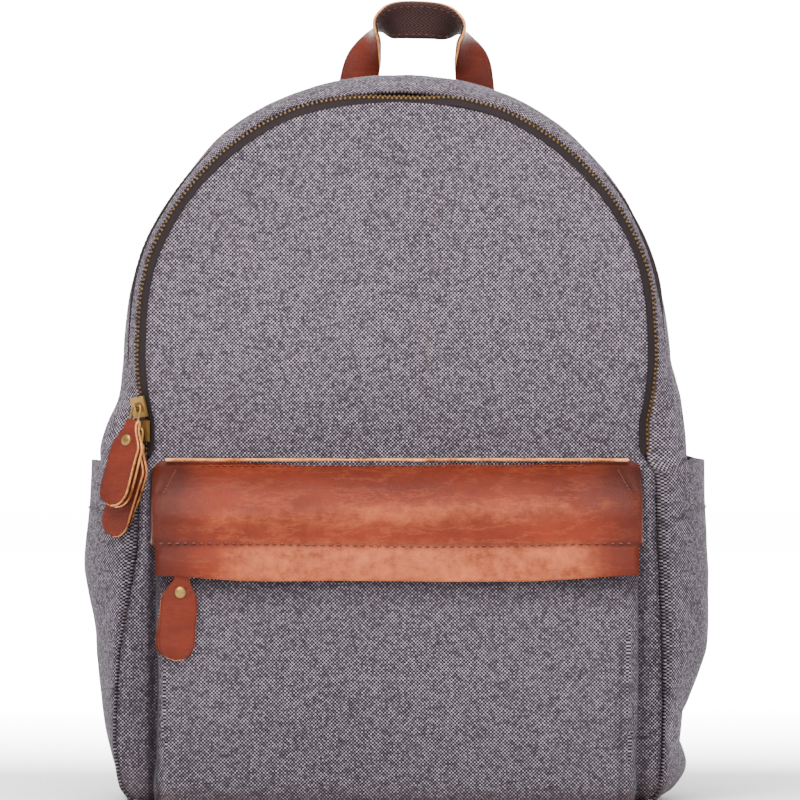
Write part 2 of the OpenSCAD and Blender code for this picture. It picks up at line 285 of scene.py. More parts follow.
def ink(red: int, green: int, blue: int) -> Ink:
    """Scene colour of a paint chart's 0 to 255 values.

    Args:
        red: Red of the chart.
        green: Green of the chart.
        blue: Blue of the chart.

    Returns:
        Linear red, green, blue and 1.
    """
    linear = []
    for part in (red, green, blue):
        value = part / 255
        linear.append(value / 12.92 if value <= 0.04045 else ((value + 0.055) / 1.055) ** 2.4)
    return (linear[0], linear[1], linear[2], 1.0)


@dataclass(frozen=True)
class Canvas:
    """Washed plain-weave canvas: pale warp over dark weft, each thread of its own tone."""

    name: str = "canvas"
    dark: Ink = ink(14, 9, 13)
    middle: Ink = ink(74, 66, 75)
    pale: Ink = ink(188, 175, 189)
    worn: Ink = ink(104, 84, 78)
    pitch: float = 1.02

    def build(self) -> bpy.types.Material:
        """Builds the material from threads, slubs, clouds, wear and painted shade."""
        g = Graph(self.name)
        across, along = g.cloth()
        u, v = across * (1 / (self.pitch * MM)), along * (1 / (self.pitch * MM))
        column, row = g.math("FLOOR", u), g.math("FLOOR", v)
        over = (column + row) % 2.0
        warp = g.noise(g.combine(column * 3.71, v * 0.13), 1.0, 2.0, 0.6)
        weft = g.noise(g.combine(u * 0.13, row * 3.71, 9.0), 1.0, 2.0, 0.6)
        speck = g.node("TexWhiteNoise", {"noise_dimensions": "2D"}, {"Vector": g.combine(column, row)})
        cloud = g.noise(g.place(), 7.0, 2.0, 0.5)
        tone = 0.41 + (warp - 0.5) * 0.26 + (weft - 0.5) * 0.34 + (speck - 0.5) * 0.3
        thread_tone = tone + (over - 0.5) * 0.8 + (cloud - 0.5) * 0.12
        round_u = g.math("ABSOLUTE", g.math("SINE", u * math.pi))
        round_v = g.math("ABSOLUTE", g.math("SINE", v * math.pi))
        thread = round_u * over + round_v * (1.0 - over)
        gaps = g.ramp(round_u * round_v, 0.0, 0.3)
        colour = g.mix(g.ramp(thread_tone, -0.05, 0.6), self.dark, self.middle)
        colour = g.mix(g.ramp(thread_tone, 0.5, 1.2), colour, self.pale)
        colour = g.mix((1.0 - gaps) * 0.5, colour, self.dark)
        colour = g.mix(g.attribute("wear") * 0.5, colour, self.worn)
        # Painted shade: the mesh's shade attribute darkens the cloth towards near-black.
        colour = g.mix(g.attribute("shade") * 0.85, colour, ink(26, 21, 24))
        height = thread * 0.6 + gaps * 0.3 + speck * 0.3
        return g.dress(colour, 0.95, height, 0.0003, {"Specular IOR Level": 0.15})


@dataclass(frozen=True)
class Leather:
    """Waxed pull-up leather: pale where it is bent, darker where the wax lies."""

    name: str = "leather"
    dark: Ink = ink(84, 24, 7)
    middle: Ink = ink(122, 41, 16)
    pale: Ink = ink(182, 98, 60)

    def build(self) -> bpy.types.Material:
        """Builds the material from wax clouds, bends, creases, grain and painted shade."""
        g = Graph(self.name)
        place = g.place()
        cloud = g.noise(place, 14.0, 5.0, 0.62)
        drift = g.noise(g.stretch(place, (8.0, 8.0, 38.0)), 1.0, 4.0, 0.6)
        mottle = g.noise(place, 150.0, 5.0, 0.7)
        bend = g.attribute("pull")
        base = g.mix(g.ramp(cloud * 0.6 + drift * 0.4 + mottle * 0.22, 0.42, 0.82), self.dark, self.middle)
        pulled = bend * (0.62 + (drift - 0.5) * 1.0 + (mottle - 0.5) * 1.3 + (cloud - 0.5) * 0.8)
        colour = g.mix(g.ramp(pulled, 0.04, 0.85), base, self.pale)
        bent = g.noise(g.stretch(place, (26.0, 26.0, 120.0)), 1.0, 5.0, 0.7)
        crease = 1.0 - g.ramp(g.math("ABSOLUTE", bent - 0.5), 0.0, 0.035)
        colour = g.mix(crease * 0.14, colour, self.pale)
        # Painted shade: the mesh's shade attribute darkens the leather towards near-black.
        colour = g.mix(g.attribute("shade") * 0.85, colour, ink(44, 10, 4))
        cells = g.node("TexVoronoi", {"feature": "DISTANCE_TO_EDGE"}, {"Vector": place, "Scale": 900.0})
        grain = g.ramp(cells, 0.0, 0.25)
        height = grain * 0.5 + mottle * 0.5 - crease * 0.25
        rough = 0.5 + (mottle - 0.5) * 0.3 + bend * 0.06
        return g.dress(colour, rough, height, 0.00018, {"Specular IOR Level": 0.17})


@dataclass(frozen=True)
class RawEdge:
    """Cut leather edge, pale and fibrous."""

    name: str = "raw_edge"
    dark: Ink = ink(134, 66, 22)
    pale: Ink = ink(232, 158, 92)

    def build(self) -> bpy.types.Material:
        """Builds the material from fibres and dark nicks."""
        g = Graph(self.name)
        fibre = g.noise(g.place(), 700.0, 4.0, 0.7)
        patch = g.noise(g.place(), 90.0, 3.0, 0.6)
        colour = g.mix(g.ramp(fibre * 0.45 + patch * 0.6, 0.34, 0.66), self.dark, self.pale)
        return g.dress(colour, 0.85, fibre, 0.0003, {"Specular IOR Level": 0.25})


class Weave(Enum):
    """How a narrow fabric is woven."""

    PLAIN = "plain"
    TWILL = "twill"
    HERRINGBONE = "herringbone"


@dataclass(frozen=True)
class Woven:
    """Narrow woven tape or smooth lining cloth."""

    name: str
    dark: Ink
    pale: Ink
    weave: Weave = Weave.TWILL
    pitch: float = 1.1
    panel: float = 5.0

    def build(self) -> bpy.types.Material:
        """Builds the material from ribs that lean as the weave does."""
        g = Graph(self.name)
        across, along = g.cloth()
        u, v = across * 1000.0, along * 1000.0
        if self.weave is Weave.HERRINGBONE:
            lean = g.math("PINGPONG", u, self.panel)
        elif self.weave is Weave.TWILL:
            lean = u
        else:
            lean = g.math("FLOOR", u / self.pitch) * (self.pitch / 2)
        rib = g.math("ABSOLUTE", g.math("SINE", (v + lean) * (math.pi / self.pitch)))
        cross = g.math("ABSOLUTE", g.math("SINE", u * (math.pi / (0.6 * self.pitch))))
        fuzz = g.noise(g.combine(u, v), 1.4, 3.0, 0.7)
        cloud = g.noise(g.place(), 30.0, 3.0, 0.6)
        light = g.ramp(rib * 0.62 + cross * 0.15 + fuzz * 0.4 + cloud * 0.2, 0.3, 1.1)
        colour = g.mix(light, self.dark, self.pale)
        height = rib * 0.7 + cross * 0.2 + fuzz * 0.2
        return g.dress(colour, 0.9, height, 0.0003, {"Specular IOR Level": 0.25})


@dataclass(frozen=True)
class Metal:
    """Antique brass: bright on its high places, brown in its hollows."""

    name: str = "brass"
    dark: Ink = ink(44, 33, 20)
    pale: Ink = ink(150, 118, 66)

    def build(self) -> bpy.types.Material:
        """Builds the material from tarnish and fine scratches."""
        g = Graph(self.name)
        tarnish = g.noise(g.place(), 260.0, 4.0, 0.65)
        scratch = g.noise(g.stretch(g.place(), (900.0, 900.0, 160.0)), 1.0, 2.0, 0.5)
        edge = g.ramp(g.node("NewGeometry", out="Pointiness"), 0.46, 0.56)
        colour = g.mix(g.ramp(tarnish * 0.7 + scratch * 0.2 + edge * 0.35, 0.35, 0.85), self.dark, self.pale)
        rough = 0.28 + tarnish * 0.3
        return g.dress(colour, rough, tarnish * 0.5 + scratch * 0.5, 0.00005, {"Metallic": 0.92})


@dataclass(frozen=True)
class Moulded:
    """Plain moulded or cast stuff with a fine spark-eroded skin."""

    name: str
    dark: Ink
    pale: Ink
    roughness: float = 0.5

    def build(self) -> bpy.types.Material:
        """Builds the material from a fine skin and a faint cloud."""
        g = Graph(self.name)
        skin = g.noise(g.place(), 1400.0, 3.0, 0.6)
        cloud = g.noise(g.place(), 60.0, 3.0, 0.6)
        colour = g.mix(g.ramp(cloud * 0.7 + skin * 0.3, 0.3, 0.7), self.dark, self.pale)
        return g.dress(colour, self.roughness + (skin - 0.5) * 0.15, skin, 0.00006)


@dataclass(frozen=True)
class Thread:
    """Waxed sewing thread with its twist."""

    name: str
    dark: Ink
    pale: Ink

    def build(self) -> bpy.types.Material:
        """Builds the material from a slanting twist."""
        g = Graph(self.name)
        twist = g.noise(g.stretch(g.place(), (2600.0, 900.0, 1500.0)), 1.0, 2.0, 0.5)
        colour = g.mix(g.ramp(twist, 0.35, 0.65), self.dark, self.pale)
        return g.dress(colour, 0.6, twist, 0.0001)


class Finish(Enum):
    """Every finish on the bag."""

    CANVAS = Canvas()
    LEATHER = Leather()
    TAB = Leather("tab_leather", ink(66, 18, 7), ink(98, 31, 13), ink(124, 52, 28))
    RAW = RawEdge()
    TAPE = Woven("zip_tape", ink(12, 8, 9), ink(38, 27, 29), Weave.PLAIN, 0.9)
    WEBBING = Woven("webbing", ink(13, 6, 6), ink(66, 44, 41), Weave.HERRINGBONE, 1.7, 3.9)
    BINDING = Woven("binding", ink(36, 31, 35), ink(80, 72, 78), Weave.TWILL, 0.9)
    COTTON = Woven("cotton", ink(116, 100, 78), ink(172, 156, 130), Weave.PLAIN, 0.7)
    BRASS = Metal()
    TEETH = Metal("tooth_metal", ink(20, 15, 10), ink(122, 96, 56))
    PLASTIC = Moulded("plastic", ink(16, 16, 18), ink(32, 32, 35), 0.42)
    BOARD = Moulded("board", ink(92, 70, 50), ink(128, 100, 74), 0.8)
    BLACK_THREAD = Thread("black_thread", ink(14, 12, 14), ink(46, 40, 44))
    BROWN_THREAD = Thread("brown_thread", ink(52, 20, 14), ink(104, 44, 30))
    GREY_THREAD = Thread("grey_thread", ink(70, 62, 68), ink(112, 102, 108))

    @property
    def material(self) -> bpy.types.Material:
        """The material, built the first time it is asked for."""
        return bpy.data.materials.get(f"{self.value.name}_finish") or self.value.build()


# ---- sheets, sweeps and seams ----


@dataclass
class Piece:
    """One mesh on its way to being a finished piece."""

    obj: bpy.types.Object

    @classmethod
    def of(cls, name: str, bm: bmesh.types.BMesh, *finishes: Finish) -> "Piece":
        """Turns a mesh into a piece.

        Args:
            name: Name of the piece.
            bm: Its mesh, in metres; it is freed.
            finishes: Finishes of its material slots.

        Returns:
            The piece.
        """
        mesh = bpy.data.meshes.new(name)
        bm.to_mesh(mesh)
        bm.free()
        for finish in finishes:
            mesh.materials.append(finish.material)
        mesh.shade_smooth()
        obj = bpy.data.objects.new(name, mesh)
        bpy.context.scene.collection.objects.link(obj)
        return cls(obj)

    def modify(self, kind: str, **values: Any) -> "Piece":
        """Adds a modifier and applies it at once.

        Args:
            kind: Type of modifier.
            values: Its settings.

        Returns:
            The same piece.
        """
        modifier = self.obj.modifiers.new(kind.lower(), kind)
        for key, value in values.items():
            setattr(modifier, key, value)
        graph = bpy.context.evaluated_depsgraph_get()
        made = bpy.data.meshes.new_from_object(
            self.obj.evaluated_get(graph), preserve_all_data_layers=True, depsgraph=graph
        )
        old = self.obj.data
        self.obj.modifiers.clear()
        self.obj.data = made
        bpy.data.meshes.remove(old)
        made.name = self.obj.name
        return self

    def thicken(self, thick: float, rim: int = 0, offset: float = -1.0) -> "Piece":
        """Gives a sheet its thickness in millimetres, behind it unless offset says otherwise."""
        return self.modify(
            "SOLIDIFY", thickness=thick * MM, offset=offset, material_offset_rim=rim, use_even_offset=False
        )

    def subdivide(self, levels: int = 1) -> "Piece":
        """Rounds the piece by subdivision."""
        return self.modify("SUBSURF", levels=levels, render_levels=levels)

    def ride(self, body: str, slot: str, *nodes: str) -> "Piece":
        """Makes the piece move with a body."""
        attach(self.obj, body)
        return self.tell(slot, nodes)

    def bend(
        self, bodies: tuple[str, str], start: Sequence[float], end: Sequence[float], slot: str, *nodes: str
    ) -> "Piece":
        """Bakes the piece's placement into its mesh and hides the nodes it stands for; nothing here bends it.

        Args:
            bodies: Body before start and body after end; not used.
            start: Where the bend starts, in millimetres.
            end: Where it ends.
            slot: Name of a material slot, passed on to tell.
            nodes: CAD nodes that it stands for.

        Returns:
            The same piece.
        """
        metres = [tuple(c * MM for c in point) for point in (start, end)]
        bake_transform(self.obj)
        return self.tell(slot, nodes)

    def tell(self, slot: str, nodes: Sequence[str]) -> "Piece":
        """Hides the nodes that the piece stands for, and reports it."""
        if nodes:
            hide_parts(*nodes)
        LOG.info("%s: %d faces", self.obj.name, len(self.obj.data.polygons))
        return self


@dataclass
class Sheet:
    """A sheet of cloth or leather laid out on a grid.

    Attributes:
        cells: Cells across and along.
        shape: Place in millimetres for 0 to 1 across and along.
        size: Width and length of the cloth in millimetres.
        outward: Rough direction, or a place inside, that its face looks towards or away from.
        marks: Other numbers along the sheet, by attribute name.
        flat: Cloth coordinates in millimetres, where they aren't just the size.
    """

    cells: tuple[int, int]
    shape: Shape
    size: tuple[float, float]
    outward: Callable[[Vector], Vector]
    marks: dict[str, Scalar] | None = None
    flat: Callable[[float, float], tuple[float, float]] | None = None

    def mesh(self) -> bmesh.types.BMesh:
        """Builds the sheet, with its cloth coordinates and marks.

        Returns:
            The mesh in metres.
        """
        bm = bmesh.new()
        bmesh.ops.create_grid(bm, x_segments=self.cells[0], y_segments=self.cells[1], size=0.5)
        layer = bm.loops.layers.uv.new("cloth")
        marks = {"wear": None, "shade": None, "pull": None}
        marks.update(self.marks or {})
        floats = {key: bm.verts.layers.float.new(key) for key in marks}
        grid = {vert: (vert.co.x + 0.5, vert.co.y + 0.5) for vert in bm.verts}
        for face in bm.faces:
            for loop in face.loops:
                u, v = grid[loop.vert]
                flat = self.flat(u, v) if self.flat else (u * self.size[0], v * self.size[1])
                loop[layer].uv = (flat[0] * MM, flat[1] * MM)
        for vert, (u, v) in grid.items():
            vert.co = self.shape(u, v) * MM
            for key, mark in marks.items():
                vert[floats[key]] = min(1.0, max(0.0, mark(u, v))) if mark else 0.0
        bmesh.ops.remove_doubles(bm, verts=bm.verts, dist=1e-6)
        bm.normal_update()
        facing = sum(
            f.normal.dot(self.outward(f.calc_center_median() / MM)) * f.calc_area() for f in bm.faces
        )
        if facing < 0:
            bmesh.ops.reverse_faces(bm, faces=bm.faces)
        return bm

    def piece(self, name: str, *finishes: Finish) -> Piece:
        """Builds the sheet as a piece."""
        return Piece.of(name, self.mesh(), *finishes)


def facing(x: float, y: float, z: float) -> Callable[[Vector], Vector]:
    """The same outward direction everywhere."""
    return lambda _: Vector((x, y, z))


def away_from(x: float, y: float, z: float) -> Callable[[Vector], Vector]:
    """Outward from a place inside, in millimetres."""
    return lambda p: (p - Vector((x, y, z))).normalized()


@dataclass(frozen=True)
class Stitches:
    """A run of machine stitches.

    Attributes:
        long: Length of a stitch.
        gap: Gap to the next one.
        thick: Thickness of the thread.
    """

    long: float = 3.0
    gap: float = 1.3
    thick: float = 0.75

    def run(self, name: str, path: Sequence[Vector], finish: Finish) -> Piece:
        """Sews along a path.

        Args:
            name: Name of the piece.
            path: Places in millimetres, in order.
            finish: Finish of the thread.

        Returns:
            The stitches as one piece.
        """
        bm = bmesh.new()
        self.sew(bm, path)
        return Piece.of(name, bm, finish)

    def sew(self, bm: bmesh.types.BMesh, path: Sequence[Vector]) -> None:
        """Adds the stitches of one path to a mesh.

        Args:
            bm: Mesh that takes them, in metres.
            path: Places in millimetres, in order.
        """
        reach = [0.0]
        for a, b in zip(path, path[1:]):
            reach.append(reach[-1] + (b - a).length)

        def at(distance: float) -> Vector:
            """Place at a distance along the path."""
            i = min(max(bisect.bisect_right(reach, distance) - 1, 0), len(path) - 2)
            part = (distance - reach[i]) / max(reach[i + 1] - reach[i], 1e-6)
            return path[i].lerp(path[i + 1], part)

        step = self.long + self.gap
        for k in range(int(reach[-1] / step)):
            start, end = at(k * step), at(k * step + self.long)
            along = end - start
            if along.length < 0.2:
                continue
            turn = along.to_track_quat("X", "Z").to_matrix().to_4x4()
            place = Matrix.Translation((start + end) / 2 * MM) @ turn @ Matrix.Scale(MM, 4)
            size = Matrix.Diagonal((along.length / 2, self.thick / 2, self.thick / 2, 1.0))
            bmesh.ops.create_uvsphere(bm, u_segments=6, v_segments=4, radius=1.0, matrix=place @ size)


def trace(points: Iterable[tuple[float, float, float]]) -> list[Vector]:
    """Places in order as vectors."""
    return [Vector(p) for p in points]


def steps(count: int) -> list[float]:
    """Numbers from 0 to 1 in count equal steps."""
    return [i / count for i in range(count + 1)]


# ---- the bag's form ----


@dataclass(frozen=True)
class Form:
    """Sizes that every sub-assembly shares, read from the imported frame.

    Attributes:
        arch_z: Height of the arch's centre.
        arch_r: Radius of the zip's line.
        zip_y: Depth of the zip's line.
        leg_z: Height below which the zip runs straight down.
        zip_low: Height of the zip's lower ends.
        fold_y: Depth of the front panel's fold.
        fold_z: Height of that fold.
        hood_y: Depth of the storm flap's fold.
        hood_z: Height of that fold.
        front: Depth of the flat front.
        back: Depth of the flat back.
    """

    arch_z: float
    arch_r: float
    zip_y: float
    leg_z: float
    zip_low: float
    fold_y: float
    fold_z: float
    hood_y: float
    hood_z: float
    front: float
    back: float

    @classmethod
    def read(cls) -> "Form":
        """Reads the sizes from joints and boxes of the frame."""
        arch, fold, hood = joint("upper_slider"), joint("front_flap"), joint("storm_flap")
        radius = node_box("front_panel_upper")[1].z - arch.z + 6.6
        return cls(
            arch_z=arch.z,
            arch_r=radius,
            zip_y=arch.y,
            leg_z=arch.z - radius * math.sin(math.radians(15)),
            zip_low=node_box("zip_teeth_body")[0].z,
            fold_y=fold.y,
            fold_z=fold.z,
            hood_y=hood.y,
            hood_z=hood.z,
            front=-65.0,
            back=65.0,
        )

    def zip_x(self, z: float) -> float:
        """Half width between the zip's lines at a height, below the arch's centre."""
        return math.sqrt(self.arch_r**2 - (max(z, self.leg_z) - self.arch_z) ** 2)

    def shoulder(self, x: float, z: float) -> float:
        """How far the slack cloth stands out from the round arch, in the direction of a place."""
        if z <= self.arch_z:
            return 0.0
        turn = math.degrees(math.atan2(z - self.arch_z, abs(x)))
        return 3.4 * smooth(2, 24, turn) * smooth(86, 62, turn)

    def arch_half(self, radius: float, z: float) -> float:
        """Half width of the arch of that radius, shoulders counted, at a height.

        Args:
            radius: Radius at its foot and its crown.
            z: Height above the arch's centre.

        Returns:
            Half width.
        """
        rise, half = z - self.arch_z, math.sqrt(max(0.0, radius**2 - (z - self.arch_z) ** 2))
        for _ in range(6):
            half = math.sqrt(max(0.0, (radius + self.shoulder(half, z)) ** 2 - rise * rise))
        return half


def joint(body: str) -> Vector:
    """Place in millimetres of the joint that moves a body."""
    return Vector(next(j for j in frame["joints"] if j["child"] == body)["pos_m"]) / MM


def axis(body: str) -> Vector:
    """Axis of the joint that moves a body."""
    return Vector(next(j for j in frame["joints"] if j["child"] == body)["axis"]).normalized()


def node_box(name: str) -> tuple[Vector, Vector]:
    """Box of a CAD node in millimetres."""
    low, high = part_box(name)
    return Vector(low) / MM, Vector(high) / MM


def middle(name: str) -> Vector:
    """Middle of a CAD node's box in millimetres."""
    low, high = node_box(name)
    return (low + high) / 2


@dataclass
class Outline:
    """The bag's outline from the front, side by side.

    Attributes:
        left_seam: Half width of the front's left side seam by height.
        right_seam: Half width of its right one.
        left_side: Half width of the left side by height, below the arch.
        right_side: Half width of the right side.
    """

    form: Form
    left_seam: Profile = Profile(
        (4, 154), (11, 158.8), (35, 162), (61, 161.2), (88, 159.2), (114, 154.6), (150, 149), (190, 147.8),
        (197, 145.2),
    )
    right_seam: Profile = Profile(
        (4, 148), (10, 151), (40, 153), (80, 153), (120, 151.5), (165, 149.5), (190, 148.6), (197, 145.2),
    )
    left_side: Profile = Profile(
        (2, 150), (12, 158), (45, 164.5), (120, 167.5), (195, 170.5), (205, 171), (219, 166.8), (232, 160.8),
        (246, 158.6), (259.5, 158.4),
    )
    right_side: Profile = Profile(
        (2, 150), (12, 158), (45, 164.5), (120, 167.5), (195, 167.5), (210, 167), (231, 164.6), (246, 161),
        (259.5, 158.6),
    )

    def seam(self, side: int, z: float) -> float:
        """Half width at the front's edge: the side seam below, the zip tape's edge above."""
        low = (self.left_seam if side < 0 else self.right_seam)(z)
        high = self.form.zip_x(z) - 5.4
        return lerp(low, high, smooth(193, 206, z))

    def side(self, side: int, z: float) -> float:
        """Half width at the middle of the side, below the arch."""
        return (self.left_side if side < 0 else self.right_side)(z)


# ---- front panel ----


@dataclass
class FrontPanel:
    """The canvas front, which folds forward above the pocket when the zip is open.

    Attributes:
        bulge: How far the middle stands out.
        lip: Width over which the edge rolls back to the zip or the seam.
        bend: Half height of the soft fold.
    """

    form: Form
    outline: Outline
    bulge: float = 4.2
    lip: float = 9.0
    bend: float = 12.0
    low: float = 3.0
    rows: int = 150
    columns: int = 112

    def height(self, v: float) -> float:
        """Height of a row: even up the legs, by angle round the arch."""
        f = self.form
        straight, arc = f.arch_z - self.low, (f.arch_r - 6) * math.pi / 2
        reach = v * (straight + arc)
        if reach <= straight:
            return self.low + reach
        return f.arch_z + (f.arch_r - 5.4) * math.sin((reach - straight) / (f.arch_r - 6))

    def half(self, side: int, z: float) -> float:
        """Half width of the panel at a height."""
        f = self.form
        if z <= f.arch_z:
            return self.outline.seam(side, z)
        return f.arch_half(f.arch_r - 5.4, z)

    def depth(self, x: float, z: float) -> float:
        """Depth of the panel's face at a place.

        Args:
            x: Place across.
            z: Height.

        Returns:
            Its Y.
        """
        f = self.form
        side = -1 if x < 0 else 1
        if z > f.arch_z:
            edge = f.arch_r - 5.4 + f.shoulder(x, z) - math.hypot(x, z - f.arch_z)
        else:
            edge = self.half(side, z) - abs(x)
        edge = min(edge, (z - self.low) * 1.1)
        wide = max(0.0, 1 - (x / 150) ** 2)
        y = f.front - 0.6 - self.bulge * wide * smooth(0, 70, f.arch_z + f.arch_r - z) * smooth(-40, 60, z)
        y += 1.1 * rumple(x, 0, z, 62, 3.0) + 0.35 * rumple(x, 0, z, 21, 5.0)
        y += 0.7 * bell(x + z * 0.06, 28, 5) * smooth(200, 240, z) * smooth(420, 330, z)
        y += 0.8 * bell(x + (z - 300) * 0.8, -86, 4) * smooth(270, 300, z) * smooth(345, 320, z)
        roll = max(0.0, 1 - edge / self.lip)
        return y + roll**2.2 * lerp(4.5, 1.0, smooth(190, 215, z))

    def shape(self, u: float, v: float) -> Vector:
        """Place on the panel for 0 to 1 across and up."""
        z = self.height(v)
        part = math.sin((2 * u - 1) * 1.36) / math.sin(1.36)
        x = part * self.half(-1 if part < 0 else 1, z)
        return Vector((x, self.depth(x, z), z))

    def worn(self, u: float, v: float) -> float:
        """How browned the cloth is: near its foot and at faint set creases."""
        p = self.shape(u, v)
        low = smooth(30, 4, p.z) * 0.5
        crease = bell(p.x + (p.z - 300) * 1.0, -70, 1.4) * smooth(280, 300, p.z) * smooth(350, 330, p.z)
        pale = bell(p.x - (p.z - 300) * 0.05, 20, 1.2) * smooth(230, 260, p.z) * smooth(380, 340, p.z)
        return low + 0.35 * crease + 0.3 * pale

    def shaded(self, u: float, v: float) -> float:
        """Painted shade: darker towards the bottom, in the grooves beside the pocket (deeper on the left), along
        the panel's edges and at the foot.
        """
        p = self.shape(u, v)
        edge = self.half(-1 if p.x < 0 else 1, p.z) - abs(p.x)
        groove = bell(abs(p.x), 140.5, 2.4) * smooth(200, 190, p.z) * (1.0 if p.x < 0 else 0.35)
        low = 0.2 * smooth(285, 205, p.z) + 0.1 * smooth(190, 150, p.z)
        return groove + low + 0.35 * smooth(3, 0, edge) + 0.3 * smooth(16, 3, p.z)

    def build(self) -> None:
        """Builds the panel, its inner lining and its seams."""
        f = self.form
        start, end = (0, f.fold_y, f.fold_z - self.bend), (0, f.fold_y, f.fold_z + self.bend)
        Sheet(
            (self.columns, self.rows),
            self.shape,
            (300, 490),
            facing(0, -1, 0),
            {"wear": self.worn, "shade": self.shaded},
            lambda u, v: (self.shape(u, v).x + 160, self.height(v)),
        ).piece("front_panel", Finish.CANVAS).thicken(1.5).bend(
            ("bag", "front_flap"), start, end, "canvas",
            "front_panel_lower", "front_strip_left", "front_strip_right", "front_panel_upper",
        )
        low = f.fold_z + 2

        def inner(u: float, v: float) -> Vector:
            """Place on the lining behind the folding part."""
            z = lerp(low, f.arch_z + f.arch_r - 9, v)
            x = (2 * u - 1) * math.sqrt(max(0.0, (f.arch_r - 9) ** 2 - (max(z, f.arch_z) - f.arch_z) ** 2))
            return Vector((x, self.depth(x, z) + 3.2 + 0.5 * rumple(x, 9, z, 34), z))

        Sheet((48, 40), inner, (290, 150), facing(0, 1, 0)).piece(
            "front_lining", Finish.COTTON
        ).thicken(0.6).ride("front_flap", "lining", "front_lining")
        for side, name in ((-1, "left"), (1, "right")):
            path = trace(
                (side * (self.half(side, z) - 2.4), self.depth(side * (self.half(side, z) - 2.4), z) - 0.2, z)
                for z in [8 + 3 * i for i in range(61)]
            )
            Stitches(2.4, 1.6, 0.7).run(f"front_seam_{name}", path, Finish.BLACK_THREAD).ride("bag", "canvas")


# ---- side shell and zip ----


